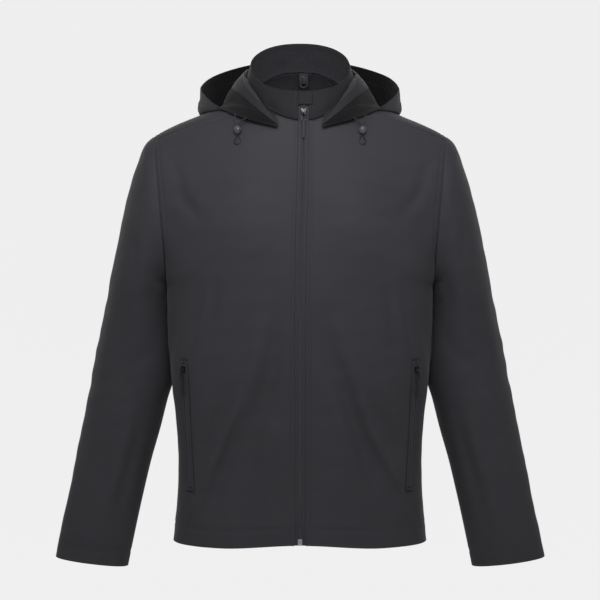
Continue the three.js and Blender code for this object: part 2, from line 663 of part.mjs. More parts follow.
// A strip on the body's front along a pocket opening, and the frame of a point on it
function pocketAt(side, share, offset) {
  const x = mix(pocketTop.x, pocketBottom.x, share);
  const z = mix(pocketTop.z, pocketBottom.z, share);
  const t = (underarmZ - z) / (hemZ - underarmZ);
  const middle = acrossInverse(x / bodyHalf(z));
  const width = body(middle + 1e-3, t).distanceTo(body(middle - 1e-3, t)) / 2e-3;
  return bodyGrid(side, [t], [0], () => middle + offset / width)[0][0];
}

function makePocket({ side, word }) {
  const rows = steps(8).map((k) => [-1, 0, 1].map((j) => pocketAt(side, k, j * pocketHalf)));
  add(`pocket_zip_${word}`, wallOf(rows, { raise: pocketRaise, wall: pocketWall }), tapeGrey);
  const seat = pocketAt(side, pocketSliderShare, 0);
  const above = pocketAt(side, pocketSliderShare - 0.02, 0).point;
  makeSliderAndPull(`pocket_${word}`, frameAt(seat.point, above, seat.normal), pocketRaise);
}

// The left loop's middle line, from the outer eyelet down through the toggle and back to the inner one
const cordRoute = [
  [101.4, -69.5, 1.2], [101.3, -73, -3], [100.6, -78, -7.5], [99.4, -83, -11.5], [98.6, -86, -15],
  [98.3, -86.4, -18.5], [98.3, -86.4, -22.5], [98.3, -86.4, -26.5], [98.5, -86.9, -30.5], [99.9, -87.8, -34.5],
  [101.5, -88.8, -38], [101.7, -89.7, -41.3], [99.8, -90.5, -44], [97, -90.8, -45], [94.2, -90.5, -44],
  [92.3, -89.7, -41.3], [92.5, -88.8, -38], [94.1, -87.8, -34.5], [95.5, -86.9, -30.5], [95.7, -86.4, -26.5],
  [95.7, -86.4, -22.5], [95.7, -86.4, -18.5], [95.3, -86.5, -14.5], [93.2, -86.7, -11], [90, -86.7, -8],
  [86, -86.4, -5.6], [82.9, -85.6, -3.9],
];

function makeDrawcord({ side, word }) {
  const route = new THREE.CatmullRomCurve3(cordRoute.map(([x, y, z]) => new THREE.Vector3(side * x, y, z)));
  const section = new THREE.Shape();
  for (let k = 0; k < cordSides; k += 1) {
    const turn = (k + 0.5) * (2 * Math.PI / cordSides);
    const [x, y] = [Math.cos(turn) * cordD / 2, Math.sin(turn) * cordD / 2];
    if (k === 0) section.moveTo(x, y);
    else section.lineTo(x, y);
  }
  const tube = new THREE.ExtrudeGeometry(section, { steps: 40, extrudePath: route, bevelEnabled: false });
  add(`drawcord_${word}`, geometryOf(solidOf(tube)), cordBlack);
  const ball = new THREE.SphereGeometry(1, 20, 14).scale(toggle.half, toggle.half, toggle.tall);
  const { slotHalf, slotDeep, tall } = toggle;
  const slot = block([-slotHalf, -slotDeep, -2 * tall], [slotHalf, slotDeep, 2 * tall]);
  const shape = geometryOf(solidOf(ball).subtract(solidOf(slot)));
  add(`toggle_${word}`, shape.translate(side * toggle.x, toggle.y, toggle.z), darkMetal);
}

function makeNeckLoop() {
  const { x, half, tape, wall, top, bottom, y } = loop;
  const shape = new THREE.Shape();
  shape.moveTo(-half, top);
  shape.lineTo(-half, bottom + half);
  shape.absarc(0, bottom + half, half, Math.PI, 2 * Math.PI, false);
  shape.lineTo(half, top);
  shape.closePath();
  const hole = new THREE.Path();
  hole.moveTo(tape - half, top - tape);
  hole.lineTo(tape - half, bottom + half);
  hole.absarc(0, bottom + half, half - tape, Math.PI, 2 * Math.PI, false);
  hole.lineTo(half - tape, top - tape);
  shape.holes.push(hole);
  const flat = new THREE.ExtrudeGeometry(shape, { depth: wall, curveSegments: 10, bevelEnabled: false });
  add('hang_loop', flat.rotateX(90 * degrees).translate(x, y, 0), tapeGrey);
  const back = y + label.gap;
  const patch = block([x - label.half, back, label.bottom], [x + label.half, back + label.wall, label.top]);
  add('neck_label', patch, cordBlack);
}

for (const each of sides) {
  makeFront(each);
  makeSleeve(each);
  makeHood(each);
  makePocket(each);
  makeDrawcord(each);
}
makeBack();
makeCollar();
makeFrontZip();
makeNeckLoop();

export default jacket;
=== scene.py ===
"""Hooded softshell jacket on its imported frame: cloth shells with their creases, stitching, zips and trim.

The tables are in millimetres and Blender's objects in metres. +Z is up, the front faces -Y, and the
wearer's left side is at +X. Every surface is the one that the solids were cut from, at a finer step.
"""
import math

import bmesh
import bpy
import numpy as np
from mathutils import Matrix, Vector, kdtree


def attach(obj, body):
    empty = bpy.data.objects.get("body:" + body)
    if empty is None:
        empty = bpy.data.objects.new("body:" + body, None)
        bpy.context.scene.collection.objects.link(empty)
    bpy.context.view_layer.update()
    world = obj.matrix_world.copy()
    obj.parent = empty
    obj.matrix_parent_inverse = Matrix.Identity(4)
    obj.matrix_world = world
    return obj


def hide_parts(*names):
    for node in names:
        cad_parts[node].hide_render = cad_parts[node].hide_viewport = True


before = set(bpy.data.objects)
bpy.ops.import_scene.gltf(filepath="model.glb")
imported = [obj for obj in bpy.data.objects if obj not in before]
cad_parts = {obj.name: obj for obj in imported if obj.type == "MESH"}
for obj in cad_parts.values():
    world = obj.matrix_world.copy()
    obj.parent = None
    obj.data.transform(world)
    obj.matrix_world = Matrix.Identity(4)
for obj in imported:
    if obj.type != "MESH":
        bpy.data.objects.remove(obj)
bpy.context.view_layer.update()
MM = 0.001
JACKET = "jacket"
SIDES = ((1, "left"), (-1, "right"))

# Camera: as far from the jacket as its perspective says, and slightly above it
CAMERA_AWAY = 3400
CAMERA_UP = math.radians(2.5)
CAMERA_AIM = (0, 0, -291)
VIEW_WIDE = 960
SENSOR = 36

# Drawcord: the left loop's middle line, from the outer eyelet through the toggle and back
CORD_D = 2.2
CORD_ROUTE = (
    (101.4, -69.5, 1.2), (101.3, -73, -3), (100.6, -78, -7.5), (99.4, -83, -11.5), (98.6, -86, -15),
    (98.3, -86.4, -18.5), (98.3, -86.4, -22.5), (98.3, -86.4, -26.5), (98.5, -86.9, -30.5),
    (99.9, -87.8, -34.5), (101.5, -88.8, -38), (101.7, -89.7, -41.3), (99.8, -90.5, -44),
    (97, -90.8, -45), (94.2, -90.5, -44), (92.3, -89.7, -41.3), (92.5, -88.8, -38),
    (94.1, -87.8, -34.5), (95.5, -86.9, -30.5), (95.7, -86.4, -26.5), (95.7, -86.4, -22.5),
    (95.7, -86.4, -18.5), (95.3, -86.5, -14.5), (93.2, -86.7, -11), (90, -86.7, -8),
    (86, -86.4, -5.6), (82.9, -85.6, -3.9),
)

# Cloth
WALL = 1.5
UNDERARM_Z = -267
HEM_Z = -668
SECTION_POWER = 2.4
HOOP_POWER = 2.7

# Body from the hem to the underarm: height, half width, front depth, back depth
BODY_ROWS = np.array((
    (-668, 203, 115, 115), (-640, 200, 113, 112), (-600, 196, 110, 109), (-540, 195, 109, 107),
    (-470, 199.5, 112, 108), (-426, 205, 115, 110), (-371, 209.5, 118, 113), (-310, 211.5, 121, 117),
    (-267, 212, 122, 118),
), float)
# Ridge over the shoulder: x, y, z
RIDGE_ROWS = np.array((
    (0, 40, 88), (30, 37, 83), (60, 24, 64), (84, 6, 38), (112, 1, 21), (160, 0, 3), (200, 0, -14),
    (233, 0, -30),
), float)
TIP_X = 233
ARMHOLE_DEPTH = 67
ARMHOLE_TOP = math.radians(39)
ARMHOLE_LEAN = 1.5
ARMHOLE_PULL = 3
OPENING_TO = 0.3
OPENING_POWER = 0.8
NECK_HALF = 84
NECK_LENGTH = 82
NECK_Y = -10
NECK_POWER = 2.2
SEAM_ANGLE = 61
RIM_HALF = 79
RIM_LENGTH = 71
RIM_Y = -9
RIM_FRONT_Z = 38
RIM_BACK_Z = 122
COLLAR_BULGE = 2.5
COLLAR_GAP = 0.6
# Sleeve rings: inner x, inner z, outer x, outer z, middle y, half depth
SLEEVE_ROWS = np.array((
    (212, -267, 233, -30, 0, 67), (213, -269, 247, -43, 4, 71), (214, -271, 258, -68, 8, 74),
    (215, -274, 271, -107, 12, 76), (215, -278, 284, -157, 17, 77), (214, -284, 297, -218, 23, 77),
    (212, -296, 309, -277, 29, 75), (205, -332, 319, -325, 35, 72), (200, -372, 328, -367, 38, 68),
    (203, -415, 336, -409, 38, 64), (214, -452, 343, -446, 34, 60), (226, -500, 352, -494, 28, 55),
    (240, -550, 361, -542, 20, 49), (253, -606, 372, -597, 11, 43), (265, -662, 383, -650, 3, 38),
    (276, -717, 393, -702, -4, 33),
), float)
SLEEVE_CLEAR = 2
# Seam allowance inside the armhole, from its cut edge: reach past the seam, and depth below it
SLEEVE_ALLOWANCE = ((5.5, 2.2), (2.5, 1.5))
# Hood, front corner to middle of the back: neck angle, then roll, crest, floor, side and rim points
HOOD_ROWS = np.array((
    (24, 34, -98, -13, 35, -99, -14, 35, -100, -15, 35, -101, -16, 35, -103, -17),
    (42, 55, -84, 14, 62, -86, 9, 68, -88, 3, 74, -88, -3, 80, -87, -6),
    (62, 72, -60, 40, 88, -56, 33, 98, -53, 22, 110, -50, 11, 118, -49, 10),
    (84, 82, -24, 60, 104, -14, 50, 128, 0, 12, 150, -6, 8, 150, -6, 33),
    (108, 84, 12, 74, 102, 34, 58, 134, 52, -6, 162, 48, 10, 158, 40, 50),
    (132, 72, 48, 82, 90, 80, 50, 112, 122, -86, 142, 118, -8, 138, 92, 72),
    (158, 40, 75, 88, 52, 104, 30, 64, 132, -158, 82, 166, -34, 76, 122, 92),
    (180, 0, 82, 90, 0, 112, 20, 0, 134, -184, 0, 178, -44, 0, 132, 98),
), float)
HOOD_CLEAR = 2.4
HOOD_SEAM = 2.4
SEAM_INSET = 0.25

# Front zip
ZIP_HALF = 8
ZIP_LEAN = 6
ZIP_LEAN_FROM = -300
TAPE_HALF = 12
TAPE_WALL = 0.8
TAPE_BEHIND = 2.3
ZIP_TOP = 0.97
ZIP_ROWS = 240
COLLAR_ZIP_ROWS = 24
TAPE_COLUMNS = (0.15, 0.6, 1.2, 1.9, 2.5, 2.9, 3.4, 4.2, 5.4, 7, 9, TAPE_HALF)
BOX_TALL = 10.4
BOX_OUTLINE = ((-3.6, 0.1), (3.6, 0.1), (3.3, 9.8), (-3.3, 9.8))
GARAGE_ACROSS = (-9, 14.5)
GARAGE_UP = (0.52, 0.992)
MAIN_SLIDER_UP = 0.28

# Pocket zips: ends of the middle line, then half widths of what lies round it
POCKET_TOP = (182, -386)
POCKET_BOTTOM = (172, -586)
POCKET_TAPE_HALF = 5
POCKET_FRAME_HALF = 5.8
POCKET_SEAM_HALF = 8.8
POCKET_BAR_HALF = 9
POCKET_BAR_SHARES = (-0.032, -0.022, 1.022, 1.032)
POCKET_SLIDER_SHARE = 0.055

# Sliders and pulls: right and up from the slider's middle, and out for the arch
SLIDER_PLATE = ((-4.3, 5.4), (4.3, 5.4), (4.3, 1.5), (2.7, -5.4), (-2.7, -5.4), (-4.3, 1.5))
SLIDER_WEDGE = ((-1.4, 5.0), (1.4, 5.0), (0.7, 0.4), (-0.7, 0.4))
SLIDER_FLANGE = ((4.25, 1.2), (3.3, 1.2), (2.1, -5.0), (2.7, -5.0))
SLIDER_ARCH = ((0, 4.1, 2.6), (0, 4.2, 3.7), (0, 3.7, 4.9), (0, 2.4, 5.4), (0, 0, 5.55), (0, -2.4, 5.4),
               (0, -3.7, 4.9), (0, -4.2, 3.7), (0, -4.1, 2.6))
PULL_HINGE_OUT = 3.95
PULL_RING = ((-2.55, 0.05), (2.55, 0.05), (3.65, -14.3), (-3.65, -14.3))
PULL_TAIL = ((-1.9, -12.2), (1.9, -12.2), (1.85, -33), (2.6, -38.2), (2.5, -41.5), (1.2, -42.6),
             (-1.2, -42.6), (-2.5, -41.5), (-2.6, -38.2), (-1.85, -33))
PULL_RIBS = (-41.0, -39.4, -37.8)

# Toggles: middle, half width and half height, and half sizes of the bore
TOGGLE_AT = (97, -86.4, -22.5)
TOGGLE_HALF = 6
TOGGLE_TALL = 7
BORE_ANGLE = 0.42
BORE_HALF = (2.75, 1.5)
TOGGLE_GROOVES = (-1.1, 1.1)

# Loop and label inside the neck
LABEL_X = 6
LOOP_HALF = 5.5

# Stitches, as distances from a panel's edge. FRONT_STITCHES has the right front's, then the left's.
FRONT_STITCHES = ((6.4,), (6, 10))
HEM_STITCH = 27
CUFF_STITCH = 25
SEAM_STITCHES = (2.4, 8)
SHOULDER_STITCHES = (2.2, 7)
HOOD_STITCHES = (3, 7)
HOOD_TUNNEL = 22
COLLAR_STITCH = 4.5
COLLAR_END_STITCH = 5
# Stitches and coil teeth: pitch, length, width, height and number of sides
SEAM_BEADS = (3.0, 2.3, 0.75, 0.5, 5)
POCKET_BEADS = (3.0, 2.3, 0.75, 0.5, 6)
BAR_BEADS = (1.1, 1.5, 0.8, 0.6, 6)
TAPE_BEADS = (2.2, 1.9, 0.6, 0.4, 6)
LABEL_BEADS = (1.6, 1.2, 0.45, 0.35, 6)
COIL_TEETH = (1.5, 1.15, 2.5, 1.3, 8)
POCKET_TEETH = (1.4, 1.1, 2.8, 1.1, 8)

# Panel grids: steps of the fine rows beside a seam, counts of the even rows and columns, and lengths
FINE_STEPS = (0, 0.5, 1.1, 1.9, 3.0)
TUBE_ROWS = 124
YOKE_ROWS = 86
BODY_COLUMNS = 74
FRONT_NECK_ROWS = 30
BACK_NECK_ROWS = 46
TUBE_LONG = UNDERARM_Z - HEM_Z
FRONT_YOKE_LONG = 250
BACK_YOKE_LONG = 280
HALF_WIDE = 235
SLEEVE_LONG = 640
COLLAR_LONG = 480
COLLAR_TALL = 56
HOOD_LONG = 330
HOOD_WIDE = 300
# From this share of the hood's rows on, its outer side takes the lining made near-black as painted shade of
# the hood's hollow.
HOOD_SHADED_LINING_FROM = 0.43
# Droop of the hem, the thickness that its fold adds, and the weave's pitch in metres
HEM_DROP = 6.5
HEM_EXTRA = 1.1
WEAVE_PITCH = 0.0009


def make_camera():
    """Camera where the jacket is seen from."""
    data = bpy.data.cameras.new("camera")
    data.sensor_width = SENSOR
    data.lens = SENSOR * CAMERA_AWAY / VIEW_WIDE
    camera = bpy.data.objects.new("camera", data)
    back = Vector((0, -math.cos(CAMERA_UP), math.sin(CAMERA_UP)))
    camera.location = (Vector(CAMERA_AIM) + back * CAMERA_AWAY) * MM
    camera.rotation_euler = (-back).to_track_quat("-Z", "Y").to_euler()
    bpy.context.collection.objects.link(camera)
    bpy.context.scene.camera = camera


def mix(a, b, t):
    return a + (b - a) * t


def power(value, exponent):
    return np.sign(value) * np.abs(value) ** exponent


def smooth(low, high, value):
    """0 below low, 1 above high, and a smooth rise between."""
    t = np.clip((value - low) / (high - low), 0, 1)
    return t * t * (3 - 2 * t)


def spline(keys, values, at):
    """Smooth curve through a table's rows. keys rise, and values may have several columns."""
    keys, values, at = (np.asarray(a, float) for a in (keys, values, at))
    wide = np.diff(keys)
    rise = (np.diff(values, axis=0).T / wide).T
    slope = np.concatenate([rise[:1], (rise[1:] + rise[:-1]) / 2, rise[-1:]])
    i = np.clip(np.searchsorted(keys, at, side="right") - 1, 0, len(keys) - 2)
    t = np.clip((at - keys[i]) / wide[i], 0, 1)
    step = wide[i]
    if values.ndim > 1:
        t, step = t[..., None], step[..., None]
    return ((2 * t ** 3 - 3 * t ** 2 + 1) * values[i] + (t ** 3 - 2 * t ** 2 + t) * slope[i] * step
            + (3 * t ** 2 - 2 * t ** 3) * values[i + 1] + (t ** 3 - t ** 2) * slope[i + 1] * step)


# The surfaces that the panels are cut from

def across(p):
    return power(np.sin(p * math.pi / 2), 2 / SECTION_POWER)


def across_inverse(share):
    return np.arcsin(np.clip(share, 0, 1) ** (SECTION_POWER / 2)) / (math.pi / 2)


def deep(share, opened=0.0):
    return (1 - np.clip(share, 0, 1) ** SECTION_POWER) ** mix(1 / SECTION_POWER, 1, opened)


def body_row(z, column):
    return spline(BODY_ROWS[:, 0], BODY_ROWS[:, column], z)


def ridge(x, column):
    return spline(RIDGE_ROWS[:, 0], RIDGE_ROWS[:, column], x)


def body(p, t):
    """Outside of the body: p from the middle (0) to the side (1), t from the front hem (-1) by the
    front underarm (0), the ridge (1) and the back underarm (2) to the back hem (3)."""
    p, t = np.broadcast_arrays(np.asarray(p, float), np.asarray(t, float))
    z = mix(UNDERARM_Z, HEM_Z, np.clip(np.where(t < 1, -t, t - 2), 0, 1))
    depth = np.where(t < 1, -body_row(z, 2), body_row(z, 3))
    tube = np.stack([body_row(z, 1) * across(p), depth * deep(across(p)), z], -1)
    half, front, back = BODY_ROWS[-1, 1:]
    opened = smooth(0, OPENING_TO, np.minimum(t, 2 - t))
    share = mix(across(p), p ** OPENING_POWER, opened)
    ridge_x = half * share + (TIP_X - half) * share ** 2
    edge_y = np.where(t < 1, -front, back) * deep(share, opened)
    hoop = np.clip(t, 0, 2) * math.pi / 2
    up = power(np.sin(hoop), 2 / HOOP_POWER)
    out = np.abs(np.cos(hoop)) ** (2 / HOOP_POWER)
    turn = 2 * hoop + ARMHOLE_TOP * np.sin(2 * hoop)
    rise = (1 - np.cos(turn)) / 2
    pull = share ** ARMHOLE_PULL
    yoke = np.stack([
        half * share + (TIP_X - half) * rise ** ARMHOLE_LEAN * share ** 2,
        mix(ridge(ridge_x, 1), edge_y, out) - pull * ARMHOLE_DEPTH * np.sin(turn),
        mix(UNDERARM_Z, ridge(ridge_x, 2), up) + pull * (RIDGE_ROWS[-1, 2] - UNDERARM_Z) * (rise - up),
    ], -1)
    return np.where(((t < 0) | (t > 2))[..., None], tube, yoke)


def neckline(angle, inset=0.0):
    """p and t of the neckline at an angle in degrees, from the front (0) to the back (180)."""
    turn = np.radians(angle)
    x = (NECK_HALF - inset) * power(np.sin(turn), 2 / NECK_POWER)
    y = NECK_Y - (NECK_LENGTH - inset) * power(np.cos(turn), 2 / NECK_POWER)
    half, front, back = BODY_ROWS[-1, 1:]
    share = x / half
    ridge_y = ridge(half * share + (TIP_X - half) * share ** 2, 1)
    edge_y = np.where(y < ridge_y, -front, back) * deep(share, 1)
    hoop = np.arccos(np.clip((y - ridge_y) / (edge_y - ridge_y), 0, 1) ** (HOOP_POWER / 2))
    hoop = hoop / (math.pi / 2)
    return share ** (1 / OPENING_POWER), np.where(y < ridge_y, hoop, 2 - hoop)


def lean(points):
    """The front zip stands slightly to the wearer's left at the top."""
    x, y, z = np.moveaxis(points, -1, 0)
    shift = ZIP_LEAN * smooth(ZIP_LEAN_FROM, RIM_FRONT_Z, z) * np.exp(-((x / 55) ** 2)) * (y < 0)
    return points + np.stack([shift, 0 * x, 0 * x], -1)


def sleeve(turn, row):
    """Outside of the left sleeve at a turn round the ring (radians) and a row number."""
    inner_x, inner_z, outer_x, outer_z, mid_y, depth = np.moveaxis(
        spline(np.arange(len(SLEEVE_ROWS)), SLEEVE_ROWS, row), -1, 0)
    rise = (1 - np.cos(turn)) / 2
    near = np.clip(1 - row, 0, 1)
    leaning = (TIP_X - SLEEVE_ROWS[0, 0]) * (rise ** ARMHOLE_LEAN - rise) * near
    x = mix(inner_x, outer_x, rise) + leaning
    y = mid_y - depth * np.sin(turn)
    z = mix(inner_z, outer_z, rise)
    limit = np.where(y < 0, body_row(z, 2), body_row(z, 3)) + SLEEVE_CLEAR
    inside = np.clip(1 - (np.abs(y) / limit) ** SECTION_POWER, 0, 1)
    pushed = np.maximum(x, (body_row(z, 1) + SLEEVE_CLEAR) * inside ** (1 / SECTION_POWER))
    return np.stack([np.where((row >= 1) & (z < UNDERARM_Z) & (inside > 0), pushed, x), y, z], -1)


def collar(angle, up):
    """Outside of the collar: the angle runs right round (0 to 360), up from the neckline to the rim."""
    side = np.where(angle <= 180, 1, -1)
    turn = np.where(angle <= 180, angle, 360 - angle)
    base = body(*neckline(turn))
    inwards = body(*neckline(turn, 2)) - base
    base = base + COLLAR_GAP * inwards / np.linalg.norm(inwards, axis=-1, keepdims=True)
    c, s = np.cos(np.radians(turn)), np.sin(np.radians(turn))
    y = RIM_Y - RIM_LENGTH * power(c, 2 / NECK_POWER)
    rim_z = mix(RIM_FRONT_Z, RIM_BACK_Z, (y - RIM_Y + RIM_LENGTH) / (2 * RIM_LENGTH))
    rim = np.stack([RIM_HALF * power(s, 2 / NECK_POWER), y, rim_z], -1)
    outwards = base * (1, 1, 0) - (0, NECK_Y, 0)
    outwards = outwards / np.linalg.norm(outwards, axis=-1, keepdims=True)
    up = np.asarray(up, float)[..., None]
    point = mix(base, rim, up) + outwards * COLLAR_BULGE * 4 * up * (1 - up)
    return lean(point * np.stack([side, 0 * side + 1, 0 * side + 1], -1))


def normals_of(grid):
    """Unit normals of a grid of points: columns crossed with rows."""
    n = np.cross(np.gradient(grid, axis=1), np.gradient(grid, axis=0))
    return n / np.maximum(np.linalg.norm(n, axis=-1, keepdims=True), 1e-9)


def cleared(points, samples, normals, clear):
    """Moves points away from the nearest of a surface's samples until they are clear of it."""
    tree = kdtree.KDTree(len(samples))
    for k, sample in enumerate(samples):
        tree.insert(sample, k)
    tree.balance()
    near = np.array([tree.find(point)[1] for point in points])
    height = np.einsum("ij,ij->i", points - samples[near], normals[near])
    return points + normals[near] * np.clip(clear - height, 0, None)[:, None]


def hood_surface(columns, rows):
    """Outside of the hood's left half, from the front corner to the middle of the back by columns
    and from the neckline to the rim by rows, clear of the collar and the body."""
    along, v = np.linspace(0, 1, 45), np.linspace(0, 1, 31)
    table = spline(np.arange(len(HOOD_ROWS)), HOOD_ROWS, along * (len(HOOD_ROWS) - 1))
    neck = body(*neckline(table[:, 0]))
    outwards = neck * (1, 1, 0) - (0, NECK_Y, 0)
    neck = neck + HOOD_SEAM * outwards / np.linalg.norm(outwards, axis=-1, keepdims=True)
    neck[:, 2] += HOOD_SEAM
    lines = np.concatenate([neck[None], table[:, 1:].reshape(-1, 5, 3).transpose(1, 0, 2)])
    coarse = spline(np.arange(6), lines.reshape(6, -1), v * 5).reshape(len(v), len(along), 3)
    angles, ups = np.meshgrid(np.linspace(3, 180, 90), np.linspace(0, 1, 16))
    collar_grid = collar(angles, ups)
    ts, shares = np.meshgrid(np.linspace(0.2, 2.2, 120), np.linspace(0, 1, 60), indexing="ij")
    angle_of = np.linspace(0, 180, 361)
    neck_p, neck_t = neckline(angle_of)
    starts = np.where((ts > neck_t[0]) & (ts < neck_t[-1]), np.interp(ts, neck_t, neck_p), 0)
    body_grid = body(mix(starts, 1, shares), ts)
    flat = coarse.reshape(-1, 3)
    for _ in range(3):
        for grid, clear in ((collar_grid, HOOD_CLEAR + WALL), (body_grid, HOOD_CLEAR)):
            flat = cleared(flat, grid.reshape(-1, 3), normals_of(grid).reshape(-1, 3), clear)
    coarse = flat.reshape(coarse.shape)
    coarse[:, -1, 0] = 0
    fine = spline(v, coarse.reshape(len(v), -1), rows).reshape(len(rows), len(along), 3)
    return spline(along, fine.transpose(1, 0, 2).reshape(len(along), -1), columns).reshape(
        len(columns), len(rows), 3).transpose(1, 0, 2)


# Creases: (view, half width, height, points). A height below 0 is a trough. The points are (x, z) as
# seen from the front or the back, or (y, z) as seen from the side.
FRONT_CREASES = (
    ("front", 6, 4.8, ((-92, -430), (-116, -500), (-136, -552), (-152, -594), (-176, -640))),
    ("front", 12, -4.6, ((-104, -420), (-134, -490), (-158, -545), (-184, -600))),
    ("front", 13, -4.6, ((-64, -420), (-96, -510), (-126, -590), (-146, -650))),
    ("front", 17, -4.8, ((-26, -258), (-36, -340), (-52, -430), (-84, -560), (-100, -640))),
    ("front", 14, 3.2, ((-52, -300), (-72, -400), (-104, -490))),
    ("front", 15, -5.2, ((30, -300), (48, -372), (74, -441), (100, -520), (116, -600))),
    ("front", 6, 4.8, ((94, -440), (116, -500), (144, -560), (172, -632))),
    ("front", 12, -4.2, ((106, -420), (136, -490), (166, -552), (186, -604))),
    ("front", 12, -4.2, ((62, -400), (88, -490), (120, -580), (140, -650))),
    ("front", 14, 3.0, ((56, -320), (84, -392), (108, -458))),
    ("front", 6, 2.0, ((-138, -240), (-147, -300), (-157, -340), (-172, -390))),
    ("front", 6, 2.0, ((146, -250), (154, -310), (163, -352), (176, -400))),
    ("front", 8, -2.0, ((-126, -250), (-136, -310), (-148, -360))),
    ("front", 8, -2.0, ((134, -256), (143, -318), (152, -366))),
    ("front", 10, -1.8, ((-194, -108), (-180, -132), (-164, -152), (-150, -166))),
    ("front", 10, -1.8, ((196, -104), (182, -126), (164, -148), (148, -168))),
    ("front", 20, 2.2, ((-40, -470), (-50, -560), (-58, -650))),
    ("front", 18, 2.2, ((34, -460), (48, -560), (56, -650))),
    ("front", 8, -1.0, ((-205, -60), (-190, -92), (-183, -130))),
    ("front", 8, -1.0, ((206, -64), (192, -96), (184, -132))),
    ("side", 16, -2.6, ((-70, -300), (-40, -360), (-14, -420))),
    ("side", 12, 2.0, ((-86, -430), (-60, -500), (-42, -580))),
)
BACK_CREASES = (
    ("back", 12, -3.0, ((-196, -96), (-172, -140), (-140, -182), (-112, -204))),
    ("back", 12, -3.2, ((194, -92), (170, -132), (140, -176), (108, -208))),
    ("back", 15, -3.6, ((-176, -258), (-142, -318), (-96, -378), (-60, -412))),
    ("back", 15, -3.8, ((180, -250), (146, -312), (104, -366), (62, -418))),
    ("back", 10, 2.6, ((-150, -430), (-128, -500), (-104, -566), (-92, -634))),
    ("back", 10, 2.6, ((142, -420), (124, -486), (106, -560), (96, -640))),
    ("back", 19, -3.8, ((-34, -300), (-44, -390), (-60, -480), (-72, -590))),
    ("back", 19, -3.6, ((28, -290), (42, -380), (52, -470), (70, -600))),
    ("back", 24, 2.6, ((-4, -330), (2, -440), (-2, -560))),
    ("back", 7, 1.8, ((-176, -330), (-164, -380), (-158, -430))),
    ("back", 7, 1.8, ((178, -322), (170, -372), (160, -436))),
    ("side", 16, -3.0, ((64, -290), (38, -350), (10, -430))),
    ("side", 11, 2.2, ((78, -420), (60, -500), (34, -590))),
)
SLEEVE_CREASES = (
    ("front", 8, -1.6, ((262, -164), (257, -214), (262, -270))),
    ("front", 12, -1.5, ((226, -340), (246, -372), (276, -392))),
    ("front", 14, 1.6, ((292, -250), (304, -350), (318, -450))),
    ("front", 11, -1.9, ((266, -230), (278, -330), (286, -440))),
    ("front", 11, -2.0, ((292, -470), (310, -540), (326, -610))),
    ("front", 10, 1.6, ((268, -480), (292, -570), (318, -660))),
    ("front", 9, -1.4, ((244, -440), (262, -520), (290, -620))),
    ("back", 11, -2.8, ((232, -250), (250, -282), (286, -306), (302, -312))),
    ("back", 9, 1.8, ((236, -330), (268, -352), (304, -362))),
    ("back", 11, -3.0, ((224, -380), (262, -400), (314, -412))),
    ("back", 10, 2.2, ((236, -470), (268, -500), (300, -560))),
    ("back", 12, -2.6, ((262, -520), (292, -580), (312, -650))),
    ("side", 13, -1.0, ((60, -230), (34, -270), (4, -300), (-22, -322))),
    ("side", 9, 0.6, ((88, -330), (50, -356), (6, -366))),
    ("side", 12, -1.0, ((94, -392), (60, -412), (20, -420), (-8, -414))),
    ("side", 9, 0.8, ((70, -450), (46, -500), (30, -560))),
    ("side", 12, -0.9, ((34, -560), (12, -610), (-2, -660))),
)
HOOD_CREASES = (
    ("back", 10, -2.6, ((-26, 40), (-40, 0), (-50, -50), (-46, -96))),
    ("back", 10, -2.4, ((28, 44), (44, 4), (50, -44), (44, -100))),
    ("back", 12, 2.6, ((-64, 30), (-76, -10), (-78, -54))),
    ("back", 12, 2.6, ((66, 32), (80, -8), (80, -50))),
    ("back", 9, -2.8, ((-104, 24), (-108, -10), (-98, -48))),
    ("back", 9, -2.6, ((106, 28), (112, -8), (100, -44))),
    ("back", 26, 2.6, ((0, 0), (0, -70))),
    ("front", 7, -1.6, ((-112, 30), (-98, 16), (-78, 6))),
    ("front", 7, -1.6, ((112, 32), (98, 17), (80, 6))),
    ("side", 10, -2.6, ((-30, 8), (10, 0), (50, -20))),
    ("side", 9, 2.2, ((0, 34), (46, 22), (96, -10))),
)
COLLAR_CREASES = (
    ("front", 8, -1.3, ((-52, 24), (-44, 8), (-34, -4))),
    ("front", 8, -1.3, ((58, 26), (48, 8), (38, -4))),
    ("back", 14, -1.2, ((-30, 112), (-26, 88))),
    ("back", 14, -1.2, ((34, 110), (30, 86))),
)
# Wide swells of the chest and shoulder blades: x, z, half width, half height, height
CHEST = ((-82, -160, 62, 84, 8.5), (86, -166, 62, 84, 8.0))
BLADES = ((-96, -150, 56, 80, 4.5), (94, -146, 56, 80, 4.2))
WAVES = ((61, 1.3, 0.31), (97, -0.7, 0.22), (43, 2.1, 0.16), (151, 0.4, 0.42))


def nearest_on(path, points):
    """Distance of points from a path, and how far along it (0 to 1) the nearest place is."""
    path = np.asarray(path, float)
    lengths = np.linalg.norm(np.diff(path, axis=0), axis=1)
    before = np.concatenate([[0], np.cumsum(lengths)])
    best = np.full(points.shape[:-1], 1e9)
    along = np.zeros(points.shape[:-1])
    for a, b, length, start in zip(path[:-1], path[1:], lengths, before):
        t = np.clip(((points - a) @ (b - a)) / length ** 2, 0, 1)
        away = np.linalg.norm(points - a - t[..., None] * (b - a), axis=-1)
        closer = away < best
        best = np.where(closer, away, best)
        along = np.where(closer, (start + t * length) / before[-1], along)
    return best, along


